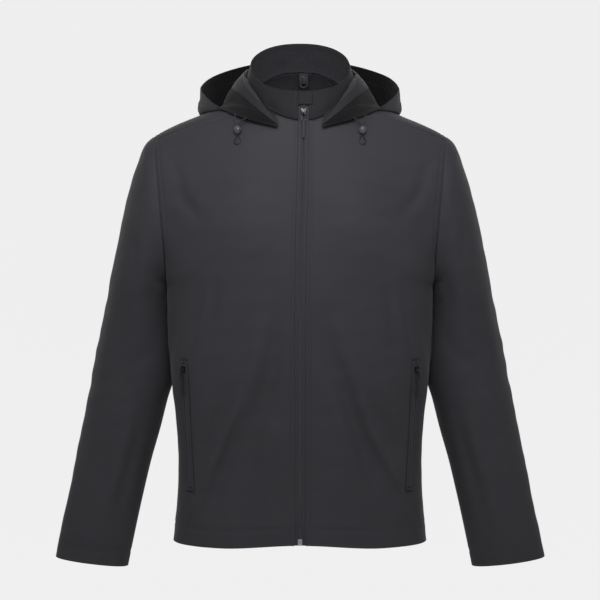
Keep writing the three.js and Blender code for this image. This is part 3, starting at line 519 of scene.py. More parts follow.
def crease_height(points, normals, creases, side=0):
    """Height of the creases at points on a surface. Where side is 1 or -1, only that side counts."""
    x, _, z = np.moveaxis(points, -1, 0)
    nx, ny = normals[..., 0], normals[..., 1]
    seen = {
        "front": (np.stack([x, z], -1), smooth(0.1, 0.55, -ny)),
        "back": (np.stack([x, z], -1), smooth(0.1, 0.55, ny)),
        "side": (points[..., 1:], smooth(0.3, 0.75, np.abs(nx) if side == 0 else nx * side)),
    }
    height = np.zeros(x.shape)
    for number, (view, wide, tall, path) in enumerate(creases):
        flat, weight = seen[view]
        away, along = nearest_on(fair(path), flat)
        fade = np.sin(math.pi * np.clip(along, 0.02, 0.98)) ** 0.7
        uneven = 1 + 0.22 * np.sin(5.3 * along + 1.7 * number)
        profile = np.exp(-((away / wide) ** 2)) - 0.25 * np.exp(-(((away - 1.9 * wide) / wide) ** 2))
        height += tall * weight * fade * uneven * profile
    return height


def wave_height(points):
    """The cloth's own slight unevenness, the same for pieces that meet."""
    x, y, z = np.moveaxis(points, -1, 0)
    height = np.zeros(x.shape)
    for k, (length, turn, tall) in enumerate(WAVES):
        wave = np.sin(2 * math.pi / length * (x * math.cos(turn) + z * math.sin(turn) + 0.6 * y) + k)
        height += tall * wave * np.sin(2 * math.pi / (1.7 * length) * (z - 0.4 * x) + 2 * k)
    return height


def swell(points, mounds):
    """Height of wide soft mounds, each steeper below its middle than above it."""
    height = 0
    for x, z, wide, tall, high in mounds:
        down = np.where(points[..., 2] < z, 0.8 * tall, 1.25 * tall)
        aside = ((points[..., 0] - x) / wide) ** 2
        height = height + high * np.exp(-aside - ((points[..., 2] - z) / down) ** 2)
    return height


def fair(path, count=14):
    """A path's corners made a smooth line."""
    path = np.asarray(path, float)
    return spline(np.arange(len(path)), path, np.linspace(0, len(path) - 1, count))


def arc(grid, axis):
    """Length along a grid's rows (axis 1) or columns (axis 0), from its first edge and to its last."""
    step = np.linalg.norm(np.diff(grid, axis=axis), axis=-1)
    start = np.zeros_like(np.take(step, [0], axis=axis))
    run = np.concatenate([start, np.cumsum(step, axis=axis)], axis=axis)
    return run, np.take(run, [-1], axis=axis) - run


def edge_distances(grid):
    first, last = arc(grid, 0)
    left, right = arc(grid, 1)
    return {"first": first, "last": last, "left": left, "right": right}


def rounded(distance, drop=1.2, over=2.6):
    """How far an edge of cloth rolls inwards where it is turned in at a seam."""
    return -drop * np.clip(1 - distance / over, 0, 1) ** 2


def stitched(distance, *lines, dent=0.85, over=1.7):
    """Dents of stitched lines at their distances from an edge."""
    return -dent * sum(np.exp(-(((distance - at) / over) ** 2)) for at in lines)


def along_line(grid, normals, edge, distance, low=0.0, high=1.0):
    """Points and normals at a distance from one edge of a grid, between two shares of that edge."""
    if edge in ("first", "last"):
        grid, normals = grid.transpose(1, 0, 2), normals.transpose(1, 0, 2)
    if edge in ("last", "right"):
        grid, normals = grid[:, ::-1], normals[:, ::-1]
    run = arc(grid, 1)[0]
    rows = range(int(low * (len(grid) - 1)), int(high * (len(grid) - 1)) + 1)
    line, out = [], []
    for i in rows:
        if run[i, -1] > distance:
            at = np.interp(distance, run[i], np.arange(grid.shape[1]))
            k, t = int(at), at - int(at)
            line.append(mix(grid[i, k], grid[i, k + 1], t))
            out.append(mix(normals[i, k], normals[i, k + 1], t))
    return np.array(line), np.array(out)


def join_grids(grids, flips):
    """Welds grids into one sheet: points, faces, each corner's UV, and each grid's point numbers."""
    points, uvs, faces = [], [], []
    start = 0
    for number, (grid, flip) in enumerate(zip(grids, flips)):
        rows, columns = grid.shape[:2]
        index = np.arange(rows * columns).reshape(rows, columns) + start
        quads = np.stack([index[:-1, :-1], index[:-1, 1:], index[1:, 1:], index[1:, :-1]], -1)
        quads = quads.reshape(-1, 4)
        faces.append(quads[:, ::-1] if flip else quads)
        points.append(grid.reshape(-1, 3))
        uvs.append(np.stack([arc(grid, 1)[0], arc(grid, 0)[0]], -1).reshape(-1, 2) + number * 700)
        start += rows * columns
    points, uvs, faces = np.concatenate(points), np.concatenate(uvs), np.concatenate(faces)
    _, first, welded = np.unique(np.round(points, 3), axis=0, return_index=True, return_inverse=True)
    welded = welded.reshape(-1)
    corners = welded[faces]
    repeated = (corners == np.roll(corners, 1, 1)).sum(1)
    keep = repeated < 2
    return points[first], corners[keep], uvs[faces[keep]], welded


def point_normals(points, faces):
    a, b, c, d = (points[faces[:, k]] for k in range(4))
    cross = np.cross(c - a, d - b)
    normals = np.zeros_like(points)
    for k in range(4):
        np.add.at(normals, faces[:, k], cross)
    return normals / np.maximum(np.linalg.norm(normals, axis=1, keepdims=True), 1e-9)


def new_object(name, points, faces, uvs=None, materials=(), indices=None):
    """A mesh from points in millimetres and a list of faces with their corners' UVs."""
    mesh = bpy.data.meshes.new(name)
    mesh.from_pydata((np.asarray(points) * MM).tolist(), [], faces)
    if uvs is not None:
        layer = mesh.uv_layers.new(name="cloth")
        layer.data.foreach_set("uv", (np.asarray(uvs, float) * MM).reshape(-1))
    for material in materials:
        mesh.materials.append(material)
    if indices is not None:
        mesh.polygons.foreach_set("material_index", indices)
    mesh.polygons.foreach_set("use_smooth", [True] * len(mesh.polygons))
    mesh.update()
    piece = bpy.data.objects.new(name, mesh)
    bpy.context.collection.objects.link(piece)
    return piece


def without_repeats(face, corner_uvs):
    """A quad with a repeated corner made a triangle."""
    kept = [k for k in range(4) if face[k] != face[k - 1]]
    return [int(face[k]) for k in kept], [corner_uvs[k] for k in kept]


def shell(name, points, faces, uvs, walls, materials):
    """A closed shell of cloth: the sheet outside, a copy inside it, and rounded rims between."""
    normals = point_normals(points, faces)
    count = len(points)
    inner = points - normals * walls[:, None]
    edges = {}
    for f, face in enumerate(faces):
        for k in range(4):
            if face[k] != face[k - 3]:
                edges[(int(face[k]), int(face[k - 3]))] = (f, k)
    rims = [(a, b, place) for (a, b), place in edges.items() if (b, a) not in edges]
    out = np.zeros_like(points)
    for a, b, _ in rims:
        way = np.cross(points[b] - points[a], normals[a] + normals[b])
        way /= max(np.linalg.norm(way), 1e-9)
        out[a] += way
        out[b] += way
    out /= np.maximum(np.linalg.norm(out, axis=1, keepdims=True), 1e-9)
    rim_points = sorted({a for a, _, _ in rims} | {b for _, b, _ in rims})
    number = {a: 2 * count + k for k, a in enumerate(rim_points)}
    middle = (points + inner)[rim_points] / 2 + out[rim_points] * walls[rim_points, None] * 0.3
    all_faces, all_uvs, indices = [], [], []
    for face, corner in zip(faces, uvs):
        kept, kept_uvs = without_repeats(face, corner)
        all_faces.append(kept)
        all_uvs += kept_uvs
        indices.append(0)
        all_faces.append([k + count for k in kept[::-1]])
        all_uvs += kept_uvs[::-1]
        indices.append(1)
    for a, b, (f, k) in rims:
        pair = (uvs[f][k], uvs[f][k - 3])
        for low, high in (((a, b), (number[a], number[b])), ((number[a], number[b]), (a + count, b + count))):
            all_faces.append([low[1], low[0], high[0], high[1]])
            all_uvs += [pair[1], pair[0], pair[0], pair[1]]
            indices.append(0)
    return new_object(name, np.concatenate([points, inner, middle]), all_faces, np.array(all_uvs),
                      materials, indices)


# Panels

def open_at(t):
    return smooth(0, OPENING_TO, np.minimum(t, 2 - t))


def column_at(x, t):
    """p at a distance x from the middle of the body."""
    share = np.abs(x) / body_row(mix(UNDERARM_Z, HEM_Z, np.clip(-t, 0, 1)), 1)
    return mix(across_inverse(share), share ** (1 / OPENING_POWER), open_at(t))


def graded(count, length, low=True, high=True):
    """Shares from 0 to 1 at an even step, with finer ones next to the ends that are seams."""
    fine = np.array(FINE_STEPS) / length
    even = np.linspace(fine[-1] if low else 0, 1 - fine[-1] if high else 1, count)
    return np.concatenate([fine[:-1] if low else [], even, 1 - fine[:-1][::-1] if high else []])


def sidewards():
    """Shares across half of the body, a little closer towards the side."""
    share = graded(BODY_COLUMNS, HALF_WIDE)
    return mix(share, np.sin(share * math.pi / 2), 0.35)


def drawn_in(grid, edges):
    """Draws a panel's edges in by half the gap of a seam."""
    grid = grid.copy()
    for edge in edges:
        g = {"first": grid, "last": grid[::-1], "left": grid.transpose(1, 0, 2),
             "right": grid.transpose(1, 0, 2)[::-1]}[edge]
        way = g[2] - g[0]
        inset = np.minimum(SEAM_INSET, 0.4 * np.linalg.norm(g[1] - g[0], axis=-1, keepdims=True))
        g[0] += inset * way / np.maximum(np.linalg.norm(way, axis=-1, keepdims=True), 1e-6)
    return grid


def hem_dropped(grid):
    """Lets the hem hang a little lower away from the zip."""
    x, y, z = np.moveaxis(grid, -1, 0)
    aside = np.maximum(smooth(5, 130, np.abs(x)), 0.6 * (y > 0))
    return grid - (0, 0, HEM_DROP) * (aside * smooth(70, 0, z - HEM_Z))[..., None]


def evened(grid, ts, underarm, right):
    """Smooths the turn from the body's tube to its yoke, away from the underarm."""
    kernel = np.hanning(19)
    padded = np.pad(grid, ((9, 9), (0, 0), (0, 0)), "edge")
    mean = sum(w * padded[k:k + len(grid)] for k, w in enumerate(kernel)) / kernel.sum()
    near = np.exp(-(((ts - underarm) / 0.13) ** 2))[:, None]
    return mix(grid, mean, (near * smooth(0, 26, right))[..., None])


def front_grid():
    """Left front: rows from the hem to the shoulder seam, columns from the zip to the side."""
    neck_p, neck_t = neckline(np.linspace(0, SEAM_ANGLE, FRONT_NECK_ROWS))
    tube = graded(TUBE_ROWS, TUBE_LONG, True, False) - 1
    yoke = graded(YOKE_ROWS, FRONT_YOKE_LONG, False, False) * neck_t[0]
    ts = np.concatenate([tube, yoke[1:-1], neck_t])
    starts = np.concatenate([np.zeros(len(ts) - len(neck_p)), neck_p])
    starts = np.maximum(starts, column_at(ZIP_HALF, ts))
    grid = drawn_in(body(mix(starts[:, None], 1, sidewards()), ts[:, None]), ("left", "right", "last"))
    return hem_dropped(evened(grid, ts, 0, arc(grid, 1)[1]))


def back_grid():
    """Left half of the back: rows from the shoulder seam to the hem, columns from the middle to the side."""
    neck_p, neck_t = neckline(np.linspace(SEAM_ANGLE, 180, BACK_NECK_ROWS))
    yoke = mix(neck_t[-1], 2, graded(YOKE_ROWS, BACK_YOKE_LONG, False, False))
    tube = 3 - graded(TUBE_ROWS, TUBE_LONG, True, False)[::-1]
    ts = np.concatenate([neck_t, yoke[1:], tube[1:]])
    starts = np.concatenate([neck_p, np.zeros(len(ts) - len(neck_p))])
    grid = drawn_in(body(mix(starts[:, None], 1, sidewards()), ts[:, None]), ("first", "right"))
    return hem_dropped(evened(grid, ts, 2, arc(grid, 1)[1]))


def sleeve_grid():
    turns = np.linspace(0, 2 * math.pi, 121)
    rows = (len(SLEEVE_ROWS) - 1) * graded(166, SLEEVE_LONG)
    return drawn_in(sleeve(turns[None, :], rows[:, None]), ("first",))


def collar_grid():
    start = math.degrees(math.asin((ZIP_HALF / NECK_HALF) ** (NECK_POWER / 2)))
    angles = mix(start, 360 - start, graded(170, COLLAR_LONG))
    return drawn_in(collar(angles[None, :], graded(22, COLLAR_TALL)[:, None]), ("left", "right"))


def hood_grid():
    return drawn_in(hood_surface(graded(120, HOOD_LONG), graded(92, HOOD_WIDE)), ("right",))


def grid_normals(grid, flip):
    """Normals of a grid of points that point outwards."""
    normals = normals_of(grid)
    return -normals if flip else normals


def pocket_away(points):
    """Distance of points on a front from the middle line of its pocket zip, seen from the front."""
    flat = np.stack([np.abs(points[..., 0]), points[..., 2]], -1)
    return nearest_on((POCKET_TOP, POCKET_BOTTOM), flat)[0]


def side_kept(height, normals):
    """Keeps ridges low where a sleeve lies against the body."""
    return height - np.clip(height - 0.4, 0, None) * smooth(0.5, 0.85, np.abs(normals[..., 0]))


def creased_front(grid, flip):
    """A front with its creases, seams and the sunk bed of its pocket zip."""
    normals = grid_normals(grid, flip)
    edge = edge_distances(grid)
    z = grid[..., 2]
    seam = smooth(1, 12, edge["right"]) * smooth(4, 16, edge["last"])
    from_neck = np.linalg.norm(grid - (0, NECK_Y - 30, 20), axis=-1)
    calm = smooth(3, 34, edge["left"]) * seam * smooth(96, 140, from_neck)
    pocket = pocket_away(grid)
    calm = calm * smooth(9, 30, pocket)
    height = side_kept(crease_height(grid, normals, FRONT_CREASES) * calm, normals)
    height += wave_height(grid) * smooth(2, 26, edge["left"]) * smooth(9, 30, pocket)
    height += swell(grid, CHEST) * smooth(2, 60, edge["left"]) * smooth(2, 60, edge["right"])
    height += rounded(edge["right"]) + rounded(edge["last"]) + rounded(edge["left"], 0.9, 1.6)
    height += 0.7 * np.exp(-((edge["left"] / 3.2) ** 2))
    height -= 1.2 * smooth(5.4, 4.2, pocket)
    height += stitched(edge["right"], *SEAM_STITCHES) * (z > UNDERARM_Z)
    height += stitched(edge["left"], *FRONT_STITCHES[int(not flip)])
    height += stitched(edge["first"], HEM_STITCH) + stitched(edge["last"], *SHOULDER_STITCHES)
    return grid + normals * height[..., None]


def creased_back(grid, flip):
    """Half of the back with its creases, calm where the hood lies on it."""
    normals = grid_normals(grid, flip)
    edge = edge_distances(grid)
    z = grid[..., 2]
    under = smooth(-205, -150, z) * smooth(190, 140, np.abs(grid[..., 0]))
    calm = smooth(1, 12, edge["right"]) * smooth(4, 16, edge["first"]) * (1 - under)
    height = side_kept(crease_height(grid, normals, BACK_CREASES) * calm, normals)
    height += wave_height(grid) * (1 - under)
    height += swell(grid, BLADES) * smooth(2, 60, edge["right"]) * (1 - under)
    height += rounded(edge["right"]) + rounded(edge["first"])
    height += stitched(edge["last"], HEM_STITCH)
    height += stitched(edge["right"], *SEAM_STITCHES) * (z > UNDERARM_Z)
    return grid + normals * height[..., None]


def creased_sleeve(grid, flip, side):
    """A sleeve with its creases. The right one's lie a little differently from the left one's."""
    normals = grid_normals(grid, flip)
    run = arc(grid, 0)
    own = grid * (side, 1, 1) + ((0, 0, 0) if side > 0 else (-3, 6, 11))
    facing = normals * (side, 1, 1)
    calm = smooth(1, 14, run[0]) * smooth(4, 30, run[1]) * smooth(0.9, 0.5, -facing[..., 0])
    height = crease_height(own, facing, SLEEVE_CREASES, 1) * calm
    height += wave_height(grid) * smooth(0.95, 0.6, -facing[..., 0])
    height += rounded(run[0], 1.2, 3) + stitched(run[1], CUFF_STITCH)
    z = grid[..., 2]
    filled = 2.7 * smooth(-325, -296, z) * smooth(-258, -268, z) + 1.5 * np.exp(-(((z + 279) / 8) ** 2))
    height += filled * smooth(0.55, 0.9, -facing[..., 0])
    made = grid + normals * height[..., None]
    inwards = made[0] - made[5]
    inwards /= np.linalg.norm(inwards, axis=-1, keepdims=True)
    tucked = [made[0] + reach * inwards - under * normals[2] for reach, under in SLEEVE_ALLOWANCE]
    return np.concatenate([tucked, made])


def creased_collar(grid):
    normals = normals_of(grid)
    edge = edge_distances(grid)
    calm = smooth(4, 16, edge["left"]) * smooth(4, 16, edge["right"]) * smooth(1, 8, edge["first"])
    height = crease_height(grid, normals, COLLAR_CREASES) * calm + 0.5 * wave_height(grid) * calm
    height += stitched(edge["last"], COLLAR_STITCH, dent=0.4) + rounded(edge["first"])
    return grid + normals * height[..., None]


def creased_hood(grid, flip, side):
    normals = grid_normals(grid, flip)
    edge = edge_distances(grid)
    own = grid if side > 0 else grid + (3, 4, -6)
    exits = np.linalg.norm(grid - (92 * side, -76, -1), axis=-1)
    calm = smooth(3, 22, edge["first"]) * smooth(12, 34, exits) * smooth(2, 18, edge["right"])
    height = crease_height(own, normals, HOOD_CREASES) * calm + 0.8 * wave_height(grid) * calm
    height += stitched(edge["last"], HOOD_TUNNEL, dent=0.5)
    height += stitched(edge["right"], *HOOD_STITCHES) + rounded(edge["right"], 1.4, 3)
    return grid + normals * height[..., None]


def mirrored(grid, side):
    return grid * (side, 1, 1)


# Zips, laid along lines on the surface

def with_normals(surface, a, b, step_a=1e-3):
    """Points of a surface of two numbers, with its normals."""
    along_a = surface(a + step_a, b) - surface(a - step_a, b)
    normals = np.cross(along_a, surface(a, b + 1e-3) - surface(a, b - 1e-3))
    return surface(a, b), normals / np.linalg.norm(normals, axis=-1, keepdims=True)


def collar_angle(offsets):
    """Angles round the collar at offsets from the middle of its front."""
    angles = np.degrees(np.arcsin((np.abs(offsets) / NECK_HALF) ** (NECK_POWER / 2)))
    return np.where(offsets < 0, 360 - angles, angles)


def zip_strip(offsets, raise_by, low=-1.0):
    """Rows of points up the front zip at offsets from its middle, raised off the cloth's face."""
    offsets = np.asarray(offsets, float)
    side = np.where(offsets < 0, -1, 1)
    ts = np.linspace(low, neckline(0.0)[1] - 0.002, ZIP_ROWS)[:, None]
    p = column_at(offsets, ts)
    _, normals = with_normals(body, np.clip(p, 2e-3, 1), np.where(np.abs(ts) < 2e-3, -2e-3, ts))
    points, normals = mirror_rows(body(p, ts), side), mirror_rows(normals, side)
    ups = np.linspace(0, ZIP_TOP, COLLAR_ZIP_ROWS)[:, None]
    angles = collar_angle(offsets) + 0 * ups
    ups = ups + 0 * angles
    _, upper = with_normals(collar, np.clip(angles, 0.4, 359.6), ups, 0.2)
    points = np.concatenate([lean(points), collar(angles, ups)])
    normals = np.concatenate([normals, upper])
    normals = normals * np.sign(-normals[..., 1:2])
    lift = np.broadcast_to(np.asarray(raise_by, float), offsets.shape)
    return points + normals * lift[None, :, None], normals


def mirror_rows(points, side):
    return points * np.stack([side, 0 * side + 1, 0 * side + 1], -1)


def pocket_point(side, share, offset):
    """Point and normal on a front at a share of its pocket opening and an offset across it."""
    x = mix(POCKET_TOP[0], POCKET_BOTTOM[0], share)
    z = mix(POCKET_TOP[1], POCKET_BOTTOM[1], share)
    t = (UNDERARM_Z - z) / (HEM_Z - UNDERARM_Z)
    middle = across_inverse(x / body_row(z, 1))
    width = np.linalg.norm(body(middle + 1e-3, t) - body(middle - 1e-3, t), axis=-1) / 2e-3
    points, normals = with_normals(body, middle + offset / width, t)
    normals = normals * np.sign(-normals[..., 1:2])
    return mirrored(points, side), mirrored(normals, side)


def place(points, normals, up):
    """A frame on a surface: its seat, right, up and out."""
    up = up / np.linalg.norm(up)
    right = np.cross(up, normals)
    right /= np.linalg.norm(right)
    out = np.cross(right, up)
    if np.dot(out, normals) < 0:
        right, out = -right, -out
    if np.dot(np.cross(right, up), out) < 0:
        right = -right
    return points, np.stack([right, up, out])


def placed(points, frame_here):
    """Points given along a frame's right, up and out, where they stand."""
    seat, axes = frame_here
    return seat + np.asarray(points, float) @ axes


# Small hard pieces: lists of (points, faces) joined into one mesh

def loft(rings, closed=False, capped=True):
    """Faces between rings of points. A closed loft joins its last ring to its first."""
    rings = np.asarray(rings, float)
    count, around = rings.shape[:2]
    faces = []
    for i in range(count if closed else count - 1):
        for j in range(around):
            a, b = i * around + j, i * around + (j + 1) % around
            c, d = ((i + 1) % count) * around + (j + 1) % around, ((i + 1) % count) * around + j
            faces.append([a, b, c, d])
    if capped and not closed:
        faces.append(list(range(around))[::-1])
        faces.append(list(range((count - 1) * around, count * around)))
    return rings.reshape(-1, 3), faces


def along_path(path, section, closed=False, up=(0.0, 0.0, 1.0)):
    """A section of (across, out) points swept along a path, whose `out` stays near one direction."""
    path = np.asarray(path, float)
    if closed:
        way = np.roll(path, -1, 0) - np.roll(path, 1, 0)
    else:
        way = np.gradient(path, axis=0)
    way /= np.linalg.norm(way, axis=1, keepdims=True)
    out = np.broadcast_to(np.asarray(up, float), path.shape)
    across_way = np.cross(way, out)
    across_way /= np.maximum(np.linalg.norm(across_way, axis=1, keepdims=True), 1e-6)
    out = np.cross(across_way, way)
    section = np.asarray(section, float)
    rings = (path[:, None] + across_way[:, None] * section[None, :, :1] + out[:, None] * section[None, :, 1:])
    return loft(rings, closed)


def round_section(radius, sides=12, squash=1.0):
    turn = np.arange(sides) * 2 * math.pi / sides
    return np.stack([np.cos(turn) * radius, np.sin(turn) * radius * squash], -1)


def box_section(half_wide, half_deep, corner, steps=3):
    """A rectangle with rounded corners."""
    points = []
    for k, (sx, sy) in enumerate(((1, 1), (-1, 1), (-1, -1), (1, -1))):
        for j in range(steps + 1):
            turn = (k + j / steps) * math.pi / 2
            points.append((sx * (half_wide - corner) + corner * math.cos(turn),
                           sy * (half_deep - corner) + corner * math.sin(turn)))
    return np.array(points)


def tablet(outline, low, high, corner):
    """A flat block with an outline of (x, y) points and rounded edges, from low to high."""
    outline = np.asarray(outline, float)
    middle = outline.mean(0)
    inward = middle - outline
    inward /= np.linalg.norm(inward, axis=1, keepdims=True)
    rings = []
    for turn in np.linspace(0, math.pi / 2, 5):
        inset, z = corner * (1 - math.sin(turn)), low + corner * (1 - math.cos(turn))
        rings.append(np.column_stack([outline + inward * inset, np.full(len(outline), z)]))
    for turn in np.linspace(math.pi / 2, 0, 5):
        inset, z = corner * (1 - math.sin(turn)), high - corner * (1 - math.cos(turn))
        rings.append(np.column_stack([outline + inward * inset, np.full(len(outline), z)]))
    return loft(rings)


def corner_rounded(corners, radius, steps=4):
    """A closed outline with its corners rounded."""
    corners = np.asarray(corners, float)
    points = []
    for k, here in enumerate(corners):
        before, after = corners[k - 1], corners[(k + 1) % len(corners)]
        a = here + (before - here) / np.linalg.norm(before - here) * radius
        b = here + (after - here) / np.linalg.norm(after - here) * radius
        for t in np.linspace(0, 1, steps + 1):
            points.append((1 - t) ** 2 * a + 2 * t * (1 - t) * here + t * t * b)
    return np.array(points)


def rectangle(left, low, right, high):
    return ((left, low), (right, low), (right, high), (left, high))


def slab(corners, radius, low, high, edge, steps=4):
    """A tablet whose outline is a polygon with its corners rounded."""
    return tablet(corner_rounded(corners, radius, steps), low, high, edge)


def belongs(piece, node_name, body_name=JACKET):
    """Puts a piece on a body, in place of the solid that it stands for."""
    if node_name:
        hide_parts(node_name)
    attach(piece, body_name)


def hard_piece(name, parts, frame_here, material):
    """Joins parts given in a frame into one mesh with its faces outwards."""
    points, faces, start = [], [], 0
    for part_points, part_faces in parts:
        points.append(placed(part_points, frame_here) if frame_here else part_points)
        faces += [[k + start for k in face] for face in part_faces]
        start += len(part_points)
    piece = new_object(name, np.concatenate(points), faces, None, (material,))
    outwards(piece)
    return piece


def outwards(piece):
    """Turns every closed shell of a mesh outwards."""
    shape = bmesh.new()
    shape.from_mesh(piece.data)
    bmesh.ops.recalc_face_normals(shape, faces=shape.faces)
    shape.to_mesh(piece.data)
    shape.free()
    piece.data.update()


# Repeats along lines, as Geometry Nodes

def node(tree, kind, place_at, **settings):
    made = tree.nodes.new(kind)
    made.location = place_at
    for key, value in settings.items():
        setattr(made, key, value)
    return made


def repeats_tree():
    """One small bead at every pitch along the piece's lines, lengthwise to them and flat on the cloth."""
    tree = bpy.data.node_groups.new("beads_along_seams", "GeometryNodeTree")
    face = tree.interface
    face.new_socket("Lines", in_out="INPUT", socket_type="NodeSocketGeometry")
    for name, value in (("Pitch", 0.003), ("Length", 0.0022), ("Width", 0.0007), ("Height", 0.0005)):
        face.new_socket(name, in_out="INPUT", socket_type="NodeSocketFloat").default_value = value
    face.new_socket("Sides", in_out="INPUT", socket_type="NodeSocketInt").default_value = 6
    face.new_socket("Thread", in_out="INPUT", socket_type="NodeSocketMaterial")
    face.new_socket("Seams", in_out="OUTPUT", socket_type="NodeSocketGeometry")
    given = node(tree, "NodeGroupInput", (-900, 0))
    lines = node(tree, "GeometryNodeMeshToCurve", (-700, 200))
    spaced = node(tree, "GeometryNodeResampleCurve", (-500, 200), mode="LENGTH")
    bead = node(tree, "GeometryNodeMeshUVSphere", (-500, -150))
    bead.inputs["Rings"].default_value = 4
    bead.inputs["Radius"].default_value = 0.5
    sizes = node(tree, "ShaderNodeCombineXYZ", (-500, -350))
    shaped = node(tree, "GeometryNodeTransform", (-300, -150))
    tangent = node(tree, "GeometryNodeInputTangent", (-500, 0))
    normal = node(tree, "GeometryNodeInputNamedAttribute", (-500, -500), data_type="FLOAT_VECTOR")
    normal.inputs["Name"].default_value = "out"
    lengthwise = node(tree, "FunctionNodeAlignRotationToVector", (-300, 50), axis="X")
    flat = node(tree, "FunctionNodeAlignRotationToVector", (-120, 50), axis="Z", pivot_axis="X")
    spread = node(tree, "GeometryNodeInstanceOnPoints", (60, 200))
    real = node(tree, "GeometryNodeRealizeInstances", (240, 200))
    smoothed = node(tree, "GeometryNodeSetShadeSmooth", (400, 200))
    finish = node(tree, "GeometryNodeSetMaterial", (560, 200))
    result = node(tree, "NodeGroupOutput", (740, 200))
    for start, end in (
        (given.outputs["Lines"], lines.inputs["Mesh"]), (lines.outputs["Curve"], spaced.inputs["Curve"]),
        (given.outputs["Pitch"], spaced.inputs["Length"]), (given.outputs["Sides"], bead.inputs["Segments"]),
        (given.outputs["Length"], sizes.inputs["X"]), (given.outputs["Width"], sizes.inputs["Y"]),
        (given.outputs["Height"], sizes.inputs["Z"]), (bead.outputs["Mesh"], shaped.inputs["Geometry"]),
        (sizes.outputs["Vector"], shaped.inputs["Scale"]), (tangent.outputs[0], lengthwise.inputs["Vector"]),
        (lengthwise.outputs["Rotation"], flat.inputs["Rotation"]),
        (normal.outputs["Attribute"], flat.inputs["Vector"]),
        (spaced.outputs["Curve"], spread.inputs["Points"]),
        (shaped.outputs["Geometry"], spread.inputs["Instance"]),
        (flat.outputs["Rotation"], spread.inputs["Rotation"]),
        (spread.outputs["Instances"], real.inputs["Geometry"]),
        (real.outputs["Geometry"], smoothed.inputs["Geometry"]),
        (smoothed.outputs["Geometry"], finish.inputs["Geometry"]),
        (given.outputs["Thread"], finish.inputs["Material"]),
        (finish.outputs["Geometry"], result.inputs["Seams"]),
    ):
        tree.links.new(start, end)
    return tree


def sewn(name, lines, material, beads):
    """Beads along lines of (points, normals) in millimetres, made into a plain mesh."""
    pitch, long, wide, tall, sides = beads
    points, out, edges = [], [], []
    for line, normals in lines:
        first = len(points)
        points += list(np.asarray(line) * MM)
        out += list(normals)
        edges += [(first + k, first + k + 1) for k in range(len(line) - 1)]
    mesh = bpy.data.meshes.new(name + "_lines")
    mesh.from_pydata([tuple(p) for p in points], edges, [])
    attribute = mesh.attributes.new("out", "FLOAT_VECTOR", "POINT")
    attribute.data.foreach_set("vector", np.asarray(out, float).reshape(-1))
    guide = bpy.data.objects.new(name + "_lines", mesh)
    bpy.context.collection.objects.link(guide)
    modifier = guide.modifiers.new("beads", "NODES")
    modifier.node_group = BEADS
    given = {item.name: item.identifier for item in BEADS.interface.items_tree
             if item.item_type == "SOCKET" and item.in_out == "INPUT"}
    for key, value in (("Pitch", pitch * MM), ("Length", long * MM), ("Width", wide * MM),
                       ("Height", tall * MM), ("Sides", sides), ("Thread", material)):
        modifier[given[key]] = value
    graph = bpy.context.evaluated_depsgraph_get()
    made = bpy.data.meshes.new_from_object(guide.evaluated_get(graph), depsgraph=graph)
    guide.modifiers.remove(modifier)
    bpy.data.objects.remove(guide)
    made.name = name
    piece = bpy.data.objects.new(name, made)
    bpy.context.collection.objects.link(piece)
    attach(piece, JACKET)
    return piece


# Finishes

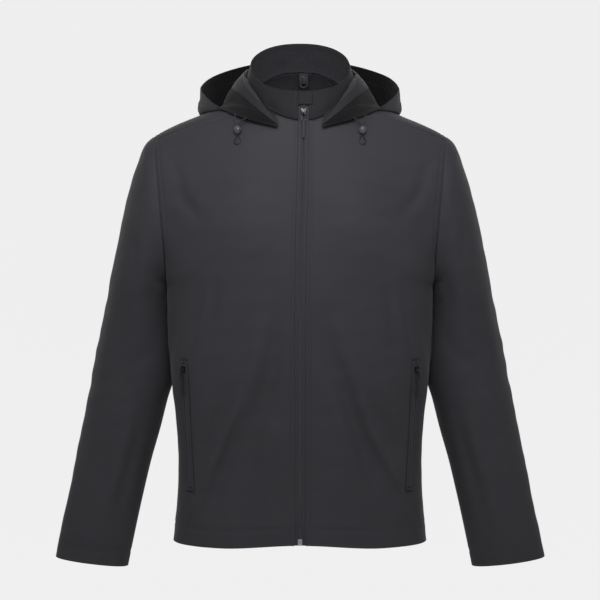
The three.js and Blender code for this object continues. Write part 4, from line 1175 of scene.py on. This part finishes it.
class Finish:
    """A procedural material: its shader, and short ways to add the nodes that feed it."""

    def __init__(self, name, roughness, metallic=0.0, sheen=0.0, sheen_rough=0.5, level=0.5, coat=0.0):
        self.material = bpy.data.materials.new(name)
        self.material.use_nodes = True
        self.tree = self.material.node_tree
        self.shader = self.tree.nodes["Principled BSDF"]
        self.shader.inputs["Roughness"].default_value = roughness
        self.shader.inputs["Metallic"].default_value = metallic
        self.shader.inputs["Sheen Weight"].default_value = sheen
        self.shader.inputs["Sheen Roughness"].default_value = sheen_rough
        self.shader.inputs["Specular IOR Level"].default_value = level
        self.shader.inputs["Coat Weight"].default_value = coat

    def new(self, kind, **settings):
        made = self.tree.nodes.new(kind)
        for key, value in settings.items():
            setattr(made, key, value)
        return made

    def link(self, start, end):
        self.tree.links.new(start, end)

    def place(self, by_uv, scale=(1, 1, 1), turned=0.0):
        """Coordinates in metres: the cloth's own UV, or Object."""
        source = self.new("ShaderNodeTexCoord").outputs["UV" if by_uv else "Object"]
        mapping = self.new("ShaderNodeMapping")
        mapping.inputs["Scale"].default_value = scale
        mapping.inputs["Rotation"].default_value = (0, 0, turned)
        self.link(source, mapping.inputs["Vector"])
        return mapping.outputs["Vector"]

    def noise(self, where, scale, detail=3.0, rough=0.5):
        made = self.new("ShaderNodeTexNoise")
        made.inputs["Scale"].default_value = scale
        made.inputs["Detail"].default_value = detail
        made.inputs["Roughness"].default_value = rough
        self.link(where, made.inputs["Vector"])
        return made.outputs["Fac"]

    def bands(self, where, pitch, direction="X", bend=0.0):
        """Ridges at a pitch in metres."""
        made = self.new("ShaderNodeTexWave", bands_direction=direction, wave_profile="SIN")
        made.inputs["Scale"].default_value = math.pi / (10 * pitch)
        made.inputs["Distortion"].default_value = bend
        self.link(where, made.inputs["Vector"])
        return made.outputs["Fac"]

    def math(self, way, a, b):
        made = self.new("ShaderNodeMath", operation=way)
        for socket, value in zip(made.inputs, (a, b)):
            if isinstance(value, (int, float)):
                socket.default_value = value
            else:
                self.link(value, socket)
        return made.outputs[0]

    def ramp(self, value, low, high, stops=(0.3, 0.7)):
        made = self.new("ShaderNodeValToRGB")
        for element, stop, colour in zip(made.color_ramp.elements, stops, (low, high)):
            element.position = stop
            element.color = (*colour, 1)
        self.link(value, made.inputs["Fac"])
        return made.outputs["Color"]

    def blend(self, share, low, high):
        made = self.new("ShaderNodeMix", data_type="RGBA")
        made.inputs[0].default_value = share
        self.link(low, made.inputs[6])
        self.link(high, made.inputs[7])
        return made.outputs[2]

    def range(self, value, low, high):
        made = self.new("ShaderNodeMapRange")
        made.inputs["To Min"].default_value = low
        made.inputs["To Max"].default_value = high
        self.link(value, made.inputs["Value"])
        return made.outputs["Result"]

    def colour(self, value):
        self.link(value, self.shader.inputs["Base Color"])

    def roughness(self, value):
        self.link(value, self.shader.inputs["Roughness"])

    def bump(self, height, distance, strength=1.0, under=None):
        made = self.new("ShaderNodeBump")
        made.inputs["Strength"].default_value = strength
        made.inputs["Distance"].default_value = distance
        self.link(height, made.inputs["Height"])
        if under is not None:
            self.link(under, made.inputs["Normal"])
        self.link(made.outputs["Normal"], self.shader.inputs["Normal"])
        return made.outputs["Normal"]


def grey(value):
    """A grey that leans slightly to violet blue, as all the jacket's cloth does."""
    return (value, value * 0.965, value * 1.14)


def softshell(name, value):
    """Tightly woven face cloth: a fine diagonal weave, flecks of paler yarn and slow uneven shade."""
    made = Finish(name, 0.66, sheen=0.14, sheen_rough=0.4, level=0.3)
    where = made.place(True)
    warp = made.bands(made.place(True, turned=math.radians(45)), WEAVE_PITCH)
    weft = made.bands(made.place(True, turned=math.radians(-45)), WEAVE_PITCH)
    weave = made.math("MULTIPLY", warp, weft)
    flecks = made.noise(made.place(True, (1, 3.2, 1)), 760, 2)
    shade = made.noise(made.place(False), 9, 4, 0.55)
    yarn = made.math("ADD", made.math("MULTIPLY", flecks, 0.75), made.math("MULTIPLY", weave, 0.25))
    pale = made.ramp(yarn, grey(value * 0.84), grey(value * 1.2), (0.32, 0.68))
    slow = made.ramp(shade, grey(value * 0.9), grey(value * 1.1), (0.35, 0.65))
    made.colour(made.blend(0.4, pale, slow))
    made.roughness(made.range(flecks, 0.6, 0.76))
    soft = made.bump(made.noise(where, 95, 3), 0.0006, 0.35)
    made.bump(weave, 0.00012, 0.5, soft)
    return made.material


def brushed_lining(name, value):
    """The cloth's inner face: a short brushed pile."""
    made = Finish(name, 0.9, sheen=0.08, sheen_rough=0.6, level=0.12)
    pile = made.noise(made.place(False), 420, 5, 0.65)
    tufts = made.noise(made.place(False), 70, 3)
    made.colour(made.ramp(pile, grey(value * 0.72), grey(value * 1.22), (0.3, 0.7)))
    made.bump(made.math("ADD", pile, made.math("MULTIPLY", tufts, 1.4)), 0.0007, 0.55)
    return made.material


def zip_tape(name, value):
    """Woven tape: fine ribs along it and a herringbone between them."""
    made = Finish(name, 0.7, sheen=0.2, level=0.3)
    ribs = made.bands(made.place(True), 0.0011)
    picks = made.bands(made.place(True, turned=math.radians(35)), 0.0007, "Y")
    mixed = made.math("MULTIPLY", ribs, picks)
    made.colour(made.ramp(mixed, grey(value * 0.75), grey(value * 1.15), (0.05, 0.7)))
    made.bump(mixed, 0.0002, 0.8)
    return made.material


def coil(name, value):
    """Nylon coil: smooth, slightly shiny filament."""
    made = Finish(name, 0.38, level=0.45)
    rub = made.noise(made.place(False), 900, 2)
    made.colour(made.ramp(rub, grey(value * 0.85), grey(value * 1.15)))
    made.roughness(made.range(rub, 0.3, 0.5))
    made.bump(rub, 0.00004, 0.4)
    return made.material


def gunmetal(name, value, worn):
    """Dark plated metal, rubbed paler in small patches."""
    made = Finish(name, 0.3, metallic=1.0)
    patches = made.noise(made.place(False), 260, 4, 0.6)
    scratches = made.noise(made.place(False, (1, 1, 14)), 900, 2)
    made.colour(made.ramp(patches, grey(value), grey(worn), (0.45, 0.8)))
    made.roughness(made.range(scratches, 0.2, 0.44))
    made.bump(scratches, 0.00003, 0.35)
    return made.material


def rubber(name, value):
    """Moulded soft rubber with a faint grain."""
    made = Finish(name, 0.55, level=0.4)
    grain = made.noise(made.place(False), 1500, 3)
    smear = made.noise(made.place(False), 120, 2)
    made.colour(made.ramp(smear, grey(value * 0.85), grey(value * 1.2)))
    made.roughness(made.range(smear, 0.48, 0.66))
    made.bump(grain, 0.00005, 0.6)
    return made.material


def braid(name, value):
    """Round braided cord: two sets of strands that cross in diamonds."""
    made = Finish(name, 0.68, sheen=0.3, level=0.3)
    one = made.bands(made.place(True, turned=math.radians(38)), 0.0011)
    other = made.bands(made.place(True, turned=math.radians(-38)), 0.0011)
    strands = made.math("MAXIMUM", one, other)
    fuzz = made.math("MULTIPLY", strands, made.noise(made.place(True), 2600, 2))
    made.colour(made.ramp(fuzz, grey(value * 0.6), grey(value * 1.3), (0.15, 0.6)))
    made.bump(strands, 0.0002, 0.8)
    return made.material


def toggle_shell(name, value):
    """Hard polished plastic with a faint marbling."""
    made = Finish(name, 0.24, level=0.55, coat=0.3)
    marble = made.noise(made.place(False), 160, 4, 0.6)
    made.colour(made.ramp(marble, grey(value * 0.8), grey(value * 1.2), (0.35, 0.7)))
    made.roughness(made.range(made.noise(made.place(False), 700, 2), 0.18, 0.34))
    return made.material


def twisted_thread(name, value):
    made = Finish(name, 0.55, sheen=0.15, level=0.35)
    twist = made.bands(made.place(False, turned=math.radians(30)), 0.0005)
    made.colour(made.ramp(twist, grey(value * 0.75), grey(value * 1.2)))
    made.bump(twist, 0.00005, 0.6)
    return made.material


def satin_ribbon(name, value):
    """Close satin weave with a soft gleam across it."""
    made = Finish(name, 0.42, sheen=0.1, level=0.4)
    floats = made.bands(made.place(False), 0.0004, "Z", 0.6)
    slubs = made.noise(made.place(False, (1, 1, 9)), 500, 2)
    made.colour(made.ramp(slubs, grey(value * 0.85), grey(value * 1.15)))
    made.bump(floats, 0.00006, 0.6)
    return made.material


def studio_wall(name, value, glow):
    """Pale matt studio floor and wall, evenly lit from all round."""
    made = Finish(name, 0.95, level=0.1)
    made.colour(made.ramp(made.noise(made.place(False), 0.8, 2), (value * 0.995,) * 3, (value * 1.005,) * 3))
    made.shader.inputs["Emission Color"].default_value = (1, 1, 1, 1)
    made.shader.inputs["Emission Strength"].default_value = glow
    return made.material


# Cloth pieces

def cloth_piece(name, grids, flips, node_name, walls=None, finishes=None, shaded_lining_from=None):
    """From the given row on, the panel's outer side takes its third finish; on the hood that is its lining,
    made near-black as painted shade.
    """
    points, faces, uvs, welded = join_grids(grids, flips)
    wall = np.full(len(points), WALL)
    if walls is not None:
        wall[welded] = walls
    piece = shell(name, points, faces, uvs, wall, finishes or (SHELL_CLOTH, LINING))
    if shaded_lining_from is not None:
        row = np.zeros(len(points))
        row[welded] = np.repeat(np.arange(len(grids[0])), grids[0].shape[1])
        for face in piece.data.polygons:
            corners = list(face.vertices)
            if max(corners) < len(points) and min(row[corners]) >= shaded_lining_from:
                face.material_index = 2
    belongs(piece, node_name)


def hem_walls(distance):
    """Thickness of the cloth at a distance from its hem, where it is turned up and doubled."""
    return (WALL + HEM_EXTRA * smooth(HEM_STITCH, HEM_STITCH - 1.5, distance)).reshape(-1)


def sew_lines(seams, grid, flip, edge, distances, low=0.0, high=1.0):
    """Adds stitched lines at distances from a panel's edge, standing just proud of the cloth."""
    for distance in distances:
        points, normals = along_line(grid, grid_normals(grid, flip), edge, distance, low, high)
        seams.append((points + 0.05 * normals, normals))


def make_shell():
    """Every panel of the jacket, and the stitched lines on it."""
    seams = []
    base_front, base_sleeve, base_hood, base_back = front_grid(), sleeve_grid(), hood_grid(), back_grid()
    tube_rows = TUBE_ROWS + len(FINE_STEPS) - 1
    for side, word in SIDES:
        flip = side < 0
        grid = creased_front(lean(mirrored(base_front, side)), flip)
        rows = len(grid)
        cloth_piece(f"front_panel_{word}", [grid], [flip], f"front_{word}",
                    hem_walls(arc(grid, 0)[0]))
        sew_lines(seams, grid, flip, "left", FRONT_STITCHES[int(side > 0)], 0,
                  (rows - FRONT_NECK_ROWS) / (rows - 1))
        sew_lines(seams, grid, flip, "first", (HEM_STITCH,))
        sew_lines(seams, grid, flip, "last", SHOULDER_STITCHES)
        sew_lines(seams, grid, flip, "right", SEAM_STITCHES, tube_rows / rows)
        FRONTS[side] = grid, grid_normals(grid, flip)

        grid = creased_sleeve(mirrored(base_sleeve, side), side > 0, side)
        cloth_piece(f"sleeve_panel_{word}", [grid], [side > 0], f"sleeve_{word}",
                    hem_walls(arc(grid, 0)[1]))
        sew_lines(seams, grid, side > 0, "last", (CUFF_STITCH,))

    hoods = {side: creased_hood(mirrored(base_hood, side), side > 0, side) for side, _ in SIDES}
    centre = (hoods[1][:, -1] * (-1, 1, 1) + hoods[-1][:, -1]) / 2
    for side, word in SIDES:
        grid = hoods[side]
        grid[:, -1] = np.column_stack([np.full(len(centre), 0.02 * side), centre[:, 1:]])
        # The hood's outer cloth is darkened as painted shade, and past the given row its outer side takes the
        # lining made near-black as painted shade.
        cloth_piece(f"hood_panel_{word}", [grid], [side > 0], f"hood_{word}",
                    None,
                    (HOOD_CLOTH_PAINTED_SHADE, SHELL_CLOTH, HOOD_LINING_PAINTED_SHADE), int(HOOD_SHADED_LINING_FROM * len(grid)))
        lines = []
        sew_lines(lines, grid, side > 0, "last", (HOOD_TUNNEL,))
        sew_lines(lines, grid, side > 0, "right", HOOD_STITCHES)
        for line, out in lines:
            seams += [(line, out), (line - out * (WALL + 0.12), -out)]

    halves = [creased_back(mirrored(base_back, side), side < 0) for side, _ in SIDES]
    middle = (halves[0][:, 0] * (-1, 1, 1) + halves[1][:, 0]) / 2
    for grid in halves:
        grid[BACK_NECK_ROWS - 1:, 0, 0] = 0
        grid[BACK_NECK_ROWS - 1:, 0, 1:] = middle[BACK_NECK_ROWS - 1:, 1:]
    cloth_piece("back_panel", halves, [False, True], "back",
                np.tile(hem_walls(arc(halves[0], 0)[1]), 2))
    for grid, flip in zip(halves, (False, True)):
        sew_lines(seams, grid, flip, "last", (HEM_STITCH,))
        sew_lines(seams, grid, flip, "right", SEAM_STITCHES, 0, 1 - tube_rows / len(grid))
        sew_lines(seams, grid, flip, "first", SHOULDER_STITCHES[1:])

    grid = creased_collar(collar_grid())
    # The collar's outer cloth is darkened as painted shade.
    cloth_piece("collar_band", [grid], [False], "collar",
                None, (COLLAR_CLOTH_PAINTED_SHADE, COLLAR_LINING))
    sew_lines(seams, grid, False, "last", (COLLAR_STITCH,))
    sew_lines(seams, grid, False, "left", (COLLAR_END_STITCH,))
    sew_lines(seams, grid, False, "right", (COLLAR_END_STITCH,))
    sewn("seam_stitches", seams, THREAD, SEAM_BEADS)


def strip_piece(name, points, normals, wall, node_name, material):
    """A strip of woven tape or cloth from rows of points, with a wall behind it."""
    flip = np.einsum("ijk,ijk->ij", normals_of(points), normals).mean() < 0
    joined_points, faces, uvs, _ = join_grids([points], [flip])
    piece = shell(name, joined_points, faces, uvs, np.full(len(joined_points), wall), (material,))
    belongs(piece, node_name)


def make_front_zip():
    """Tapes, coil, bottom box, garage, slider and pull of the front zip."""
    teeth, edges = [], []
    for side, word in SIDES:
        widths = np.array(TAPE_COLUMNS)
        points, normals = zip_strip(side * widths, -TAPE_BEHIND + 1.1 * smooth(3.6, 2.4, widths))
        strip_piece(f"zip_tape_woven_{word}", points, normals, TAPE_WALL, f"zip_tape_{word}", TAPE)
        low = -1 + BOX_TALL / TUBE_LONG + (0.002 if side > 0 else 0)
        for lines, offset, lift in ((teeth, 1.15, -0.6), (edges, 4.6, -1.9)):
            points, normals = zip_strip([side * offset], [lift], low)
            lines.append((points[:, 0], normals[:, 0]))
    coils = sewn("zip_coil", teeth, COIL, COIL_TEETH)
    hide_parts("zip_chain")
    sewn("zip_tape_stitches", edges, TAPE_THREAD, TAPE_BEADS)

    seat = body(0.0, -1.0)
    here = place(seat, np.array([0, -1.0, 0]), body(0.0, -0.97) - seat)
    parts = [slab(BOX_OUTLINE, 1.1, -1.5, 1.35, 0.5)]
    parts.append(slab(rectangle(-3.0, 1.0, 3.0, 2.6), 0.5, 0.9, 1.62, 0.3))
    parts += [slab(rectangle(x - 0.5, 6.2, x + 0.5, 9.2), 0.3, 1.0, 1.62, 0.25) for x in (-1.7, 1.7)]
    belongs(hard_piece("zip_box_moulded", parts, here, NICKEL), "zip_box")

    shares = np.linspace(0, 1, 16)[:, None]
    offsets = np.linspace(*GARAGE_ACROSS, 20)[None, :]
    points = collar(collar_angle(offsets) + 0 * shares, mix(*GARAGE_UP, shares) + 0 * offsets)
    normals = normals_of(points)
    normals *= np.sign(-normals[..., 1:2])
    reach = np.min([*arc(points, 0), *arc(points, 1)], axis=0)
    height = 1.75 - 0.8 * np.clip(1 - reach / 2.4, 0, 1) ** 2 + 0.25 * smooth(3, 9, reach)
    # The garage takes the collar's cloth, darkened as painted shade.
    strip_piece("zip_garage_folded", points + normals * height[..., None], normals, 1.2, "zip_garage",
                COLLAR_CLOTH_PAINTED_SHADE)

    seat, out = on_collar(MAIN_SLIDER_UP)
    make_slider("main", place(seat, out, on_collar(MAIN_SLIDER_UP + 0.1)[0] - seat), 0.1)


def on_collar(up):
    """Point and outward direction of the collar's middle line at a height."""
    angle, height = np.array([0.0, 1.0, 359.0]), np.array([up, up, up])
    middle, right, left = collar(angle, height)
    above = collar(np.array([0.0]), np.array([up + 0.01]))[0]
    out = np.cross(right - left, above - middle)
    out = out / np.linalg.norm(out)
    return middle, out * np.sign(-out[1])


def make_slider(word, here, under):
    """A zip slider with its bridge, and the ring and rubber pull that hang from it."""
    base = under + 0.35
    outline = corner_rounded(SLIDER_PLATE, 1.3)
    arch = spline(np.arange(len(SLIDER_ARCH)), SLIDER_ARCH, np.linspace(0, len(SLIDER_ARCH) - 1, 40))
    parts = [
        tablet(outline, base, base + 1.1, 0.35), tablet(outline * 0.97, base + 1.7, base + 3.0, 0.45),
        slab(SLIDER_WEDGE, 0.4, base + 1.0, base + 1.9, 0.1),
        along_path(arch + (0, 0, base), box_section(0.55, 1.15, 0.3), up=(1.0, 0.0, 0.0)),
    ]
    parts += [slab([(s * x, y) for x, y in SLIDER_FLANGE], 0.2, base + 0.9, base + 1.9, 0.1) for s in (1, -1)]
    belongs(hard_piece(f"{word}_slider_cast", parts, here, METAL), f"{word}_slider")

    hinge = np.array((0, 0, base + PULL_HINGE_OUT))
    corners = corner_rounded(PULL_RING, 1.5, 6)
    path = np.column_stack([corners, np.zeros(len(corners))]) + hinge
    ring = along_path(path, round_section(0.58, 12), closed=True)
    belongs(hard_piece(f"{word}_pull_ring", [ring], here, METAL), None, f"{word}_pull")
    tail = [slab(PULL_TAIL, 0.55, -1.2, 1.2, 0.5, 3)]
    tail += [slab(rectangle(-1.6, y, 1.6, y + 0.7), 0.3, -1.35, 1.35, 0.2, 2) for y in PULL_RIBS]
    piece = hard_piece(f"{word}_pull_tail", [(points + hinge, faces) for points, faces in tail], here, RUBBER)
    belongs(piece, f"{word}_pull", f"{word}_pull")


def make_pocket(side, word):
    """A side pocket's zip: a folded cloth frame round its tape and coil, end bars and its slider."""
    shares = np.linspace(0.01, 0.99, 80)[:, None]
    offsets = np.linspace(-POCKET_TAPE_HALF, POCKET_TAPE_HALF, 9)[None, :]
    points, normals = pocket_point(side, shares + 0 * offsets, offsets + 0 * shares)
    strip_piece(f"pocket_tape_{word}", points + normals * 0.35, normals, 0.7, None, TAPE)
    for offset in (1.3, -1.3):
        middle, out = pocket_point(side, np.linspace(0.02, 0.98, 120), offset)
        POCKET_COILS.append((middle + out * 0.85, out))
    loop_offsets, loop_shares = rounded_loop(POCKET_FRAME_HALF, 0.005)
    path, out = pocket_point(side, loop_shares, loop_offsets)
    way = np.roll(path, -1, 0) - np.roll(path, 1, 0)
    beside = np.cross(way / np.linalg.norm(way, axis=1, keepdims=True), out)
    beside /= np.linalg.norm(beside, axis=1, keepdims=True)
    section = box_section(1.7, 0.85, 0.6) + (0, 0.8)
    rings = path[:, None] + beside[:, None] * section[None, :, :1] + out[:, None] * section[None, :, 1:]
    points, faces = loft(rings, True)
    around = arc(np.concatenate([rings, rings[:1]]), 0)[0]
    aside = arc(np.concatenate([rings, rings[:, :1]], 1), 1)[0]
    uvs = []
    for i in range(len(path)):
        for j in range(len(section)):
            uvs += [(aside[i, j], around[i, j]), (aside[i, j + 1], around[i, j]),
                    (aside[i, j + 1], around[i + 1, j]), (aside[i, j], around[i + 1, j])]
    piece = new_object(f"pocket_frame_{word}", points, faces, uvs, (SHELL_CLOTH,))
    outwards(piece)
    belongs(piece, f"pocket_zip_{word}")
    for offset in (-POCKET_SEAM_HALF, POCKET_SEAM_HALF):
        POCKET_SEAMS.append(on_front(side, pocket_point(side, np.linspace(-0.03, 1.03, 90), offset)[0]))
    for share in POCKET_BAR_SHARES:
        bar = np.linspace(-POCKET_BAR_HALF, POCKET_BAR_HALF, 9)
        POCKET_BARS.append(on_front(side, pocket_point(side, np.full(9, share), bar)[0]))
    seat, out = (v[0] for v in pocket_point(side, np.array([POCKET_SLIDER_SHARE]), 0.0))
    above = pocket_point(side, np.array([POCKET_SLIDER_SHARE - 0.02]), 0.0)[0][0]
    make_slider(f"pocket_{word}", place(seat, out, above - seat), 1.6)


def rounded_loop(half, bulge, steps=90, end_steps=8):
    """A closed loop round a long opening: offsets across it and shares along it."""
    down, turn = np.linspace(0, 1, steps), np.linspace(half, -half, end_steps + 2)[1:-1]
    share = np.concatenate([down, np.ones(end_steps), down[::-1], np.zeros(end_steps)])
    offset = np.concatenate([np.full(steps, half), turn, np.full(steps, -half), -turn])
    ends = np.clip((half - np.abs(offset)) / 1.5, 0, 1) * bulge
    return offset, np.where(share >= 1, 1 + ends, np.where(share <= 0, -ends, share))


def on_front(side, points):
    """Moves a line onto the creased front beneath it."""
    flat, out = (values.reshape(-1, 3) for values in FRONTS[side])
    near = [int(np.argmin(((flat - point) ** 2).sum(1))) for point in points]
    rise = np.einsum("ij,ij->i", flat[near] - points, out[near])
    return points + out[near] * (rise + 0.1)[:, None], out[near]


def make_drawcord(side, word):
    """One loop of cord, its toggle, and the eyelets it comes through."""
    route = np.array(CORD_ROUTE, float) * (side, 1, 1)
    path = spline(np.arange(len(route)), route, np.linspace(0, len(route) - 1, 240))
    way = np.gradient(path, axis=0)
    way /= np.linalg.norm(way, axis=1, keepdims=True)
    run = np.concatenate([[0], np.cumsum(np.linalg.norm(np.diff(path, axis=0), axis=1))])
    out, rings, sides = np.cross(way[0], (1, 0, 0)), [], 20
    turn = np.arange(sides) * 2 * math.pi / sides
    for k, (point, along) in enumerate(zip(path, way)):
        out = out - along * np.dot(out, along)
        out /= np.linalg.norm(out)
        strands = 1 + 0.035 * np.sin(turn * 4) * math.sin(run[k] * 2.6)
        radius = CORD_D / 2 * strands * (1 if 0 < k < len(path) - 1 else 0.8)
        x, y = (np.cos(turn) * radius)[:, None], (np.sin(turn) * radius)[:, None]
        rings.append(point + x * out + y * np.cross(along, out))
    points, faces = loft(rings)
    uvs, step = [], CORD_D * math.pi / sides
    for k in range(len(path) - 1):
        for j in range(sides):
            low, high = j * step, (j + 1) * step
            uvs += [(low, run[k]), (high, run[k]), (high, run[k + 1]), (low, run[k + 1])]
    uvs += [(0, 0)] * (2 * sides)
    cord = new_object(f"drawcord_braid_{word}", points, faces, uvs, (BRAID,))
    outwards(cord)
    belongs(cord, f"drawcord_{word}")

    around = np.arange(40) * 2 * math.pi / 40
    c, s = np.cos(around), np.sin(around)
    rings = []
    for angle in np.linspace(BORE_ANGLE, math.pi - BORE_ANGLE, 26):
        radius = TOGGLE_HALF * math.sin(angle)
        rings.append(np.column_stack([radius * c, radius * s, np.full(40, TOGGLE_TALL * math.cos(angle))]))
    lip = TOGGLE_TALL * math.cos(BORE_ANGLE)
    for z in np.linspace(-lip, lip, 14)[1:-1]:
        flare = 1 + 0.35 * smooth(lip - 1.4, lip, abs(z))
        rings.append(np.column_stack([BORE_HALF[0] * flare * c, BORE_HALF[1] * flare * s, np.full(40, z)]))
    parts = [loft(rings, True)]
    for z in TOGGLE_GROOVES:
        radius = (TOGGLE_HALF + 0.02) * math.sqrt(1 - (z / TOGGLE_TALL) ** 2)
        circle = np.column_stack([radius * c, radius * s, np.full(40, z)])
        parts.append(along_path(circle, round_section(0.22, 8), True))
    at = np.array(TOGGLE_AT) * (side, 1, 1)
    parts = [(points + at, faces) for points, faces in parts]
    toggle = hard_piece(f"toggle_ball_{word}", parts, None, TOGGLE)
    belongs(toggle, f"toggle_{word}")

    eyelets = []
    for point, along in ((path[0], way[0]), (path[-1], way[-1])):
        start = np.cross(along, (0, 0, 1.0))
        start /= np.linalg.norm(start)
        circle = point + along * 0.1 + 1.75 * (c[:, None] * start + s[:, None] * np.cross(along, start))
        eyelets.append(along_path(circle, round_section(0.5, 10), True, up=along))
    piece = hard_piece(f"eyelets_{word}", eyelets, None, METAL)
    belongs(piece, None)


def make_neck_loop():
    """Hanging loop of narrow tape and the bare label inside the back of the neck."""
    down = np.linspace(73.4, 57.5, 12)
    turn = np.linspace(math.pi, 2 * math.pi, 30)
    xs = np.concatenate([np.full(12, -LOOP_HALF), LOOP_HALF * np.cos(turn), np.full(12, LOOP_HALF)])
    zs = np.concatenate([down, 57 + LOOP_HALF * np.sin(turn), down[::-1]])
    path = np.column_stack([xs + LABEL_X, 68.05 - 0.35 * np.sin((zs - 50) / 8), zs])
    tape = along_path(path, box_section(1.45, 0.45, 0.3), up=(0.0, -1.0, 0.0))
    belongs(hard_piece("hang_loop_tape", [tape], None, LABEL), "hang_loop")
    here = (np.array((LABEL_X, 69.45, 65.5)), np.array(((1.0, 0, 0), (0, 0, 1.0), (0, -1.0, 0))))
    parts = [slab(rectangle(-6.5, -8.5, 6.5, 8.5), 0.6, 0, 0.6, 0.25),
             slab(rectangle(-6.5, 5.6, 6.5, 8.5), 0.5, 0.3, 0.75, 0.2)]
    belongs(hard_piece("neck_label_bare", parts, here, LABEL), "neck_label")
    lines = []
    for x in (LABEL_X - 6.1, LABEL_X + 6.1):
        line = np.array([(x, 68.8, z) for z in np.linspace(58, 73.5, 20)])
        lines.append((line, np.tile((0, -1.0, 0), (20, 1))))
    sewn("label_stitches", lines, TAPE_THREAD, LABEL_BEADS)


# Studio

def make_studio():
    """Pale floor and round wall that the lamps don't brighten, soft lamps before and behind, and air."""
    around = np.arange(64) * 2 * math.pi / 64
    rings = [np.column_stack([radius * np.cos(around), radius * np.sin(around), np.full(64, z)])
             for radius, z in STUDIO_PROFILE]
    points, faces = loft(rings, False, False)
    piece = new_object("studio_floor_and_wall", points / MM, [face[::-1] for face in faces], None,
                       (studio_wall("studio_paper", 0.04, 0.845),))
    piece.visible_diffuse = False
    piece.visible_glossy = False
    piece.visible_shadow = False
    for name, size, spread, watts, spot, aim in LAMPS:
        data = bpy.data.lights.new(name, "AREA")
        data.shape = "RECTANGLE"
        data.size, data.size_y = size
        data.energy = watts
        data.spread = math.radians(spread)
        lamp = bpy.data.objects.new(name, data)
        lamp.location = spot
        lamp.rotation_euler = (Vector(spot) - Vector(aim)).to_track_quat("Z", "Y").to_euler()
        bpy.context.collection.objects.link(lamp)
    world = bpy.data.worlds.new("studio_air")
    world.use_nodes = True
    world.node_tree.nodes["Background"].inputs["Color"].default_value = (1, 1, 1, 1)
    world.node_tree.nodes["Background"].inputs["Strength"].default_value = AIR
    bpy.context.scene.world = world
    bpy.context.scene.view_settings.view_transform = "Standard"


# Floor and wall: radius and height in metres
STUDIO_PROFILE = ((0.0001, -1.02), (3, -1.02), (6.5, -1.02), (7.6, -0.77), (8.4, -0.02), (8.8, 1.38),
                  (8.6, 4.4), (7.2, 6.8), (4.6, 8.6), (0.0001, 9.2))
AIR = 0.3
# Lamps: size, spread, watts, place and aim in metres
LAMPS = (
    ("front_softbox", (1.2, 0.6), 180, 7.2, (0.0, -1.1, 0.75), (0, 0, -0.2)),
    ("chest_softbox", (0.4, 0.25), 50, 0.3, (0.0, -1.15, 0.55), (0, 0, -0.16)),
    ("rear_softbox", (1.8, 1.0), 180, 9, (0.0, 1.9, 1.2), (0, 0, -0.2)),
)

SHELL_CLOTH = softshell("softshell_cloth", 0.05)
# The hood's outer cloth is the body's softshell made darker as painted shade, for the shadow the hood lies
# in.
HOOD_CLOTH_PAINTED_SHADE = softshell("softshell_hood_painted_shade", 0.024)
# The collar and zip garage cloth is the body's softshell made darker still as painted shade, for the shadow
# under the hood.
COLLAR_CLOTH_PAINTED_SHADE = softshell("softshell_collar_painted_shade", 0.015)
LINING = brushed_lining("brushed_inner_face", 0.046)
# The hood's lining is made near-black as painted shade, where its hollow lies in shadow.
HOOD_LINING_PAINTED_SHADE = brushed_lining("brushed_hood_lining_painted_shade", 0.009)
COLLAR_LINING = brushed_lining("brushed_collar_facing", 0.044)
TAPE = zip_tape("woven_zip_tape", 0.068)
COIL = coil("nylon_coil", 0.095)
METAL = gunmetal("gunmetal_plating", 0.045, 0.2)
NICKEL = gunmetal("bare_nickel", 0.55, 0.8)
RUBBER = rubber("moulded_rubber", 0.022)
BRAID = braid("braided_cord", 0.016)
TOGGLE = toggle_shell("toggle_plastic_grey", 0.1)
THREAD = twisted_thread("seam_thread", 0.032)
TAPE_THREAD = twisted_thread("tape_thread", 0.04)
LABEL = satin_ribbon("label_ribbon", 0.02)
BEADS = repeats_tree()
FRONTS, POCKET_COILS, POCKET_SEAMS, POCKET_BARS = {}, [], [], []

make_camera()
for side, word in SIDES:
    make_drawcord(side, word)
make_shell()
make_front_zip()
for side, word in SIDES:
    make_pocket(side, word)
sewn("pocket_coils", POCKET_COILS, COIL, POCKET_TEETH)
sewn("pocket_stitches", POCKET_SEAMS, THREAD, POCKET_BEADS)
sewn("pocket_bar_tacks", POCKET_BARS, THREAD, BAR_BEADS)
make_neck_loop()
make_studio()
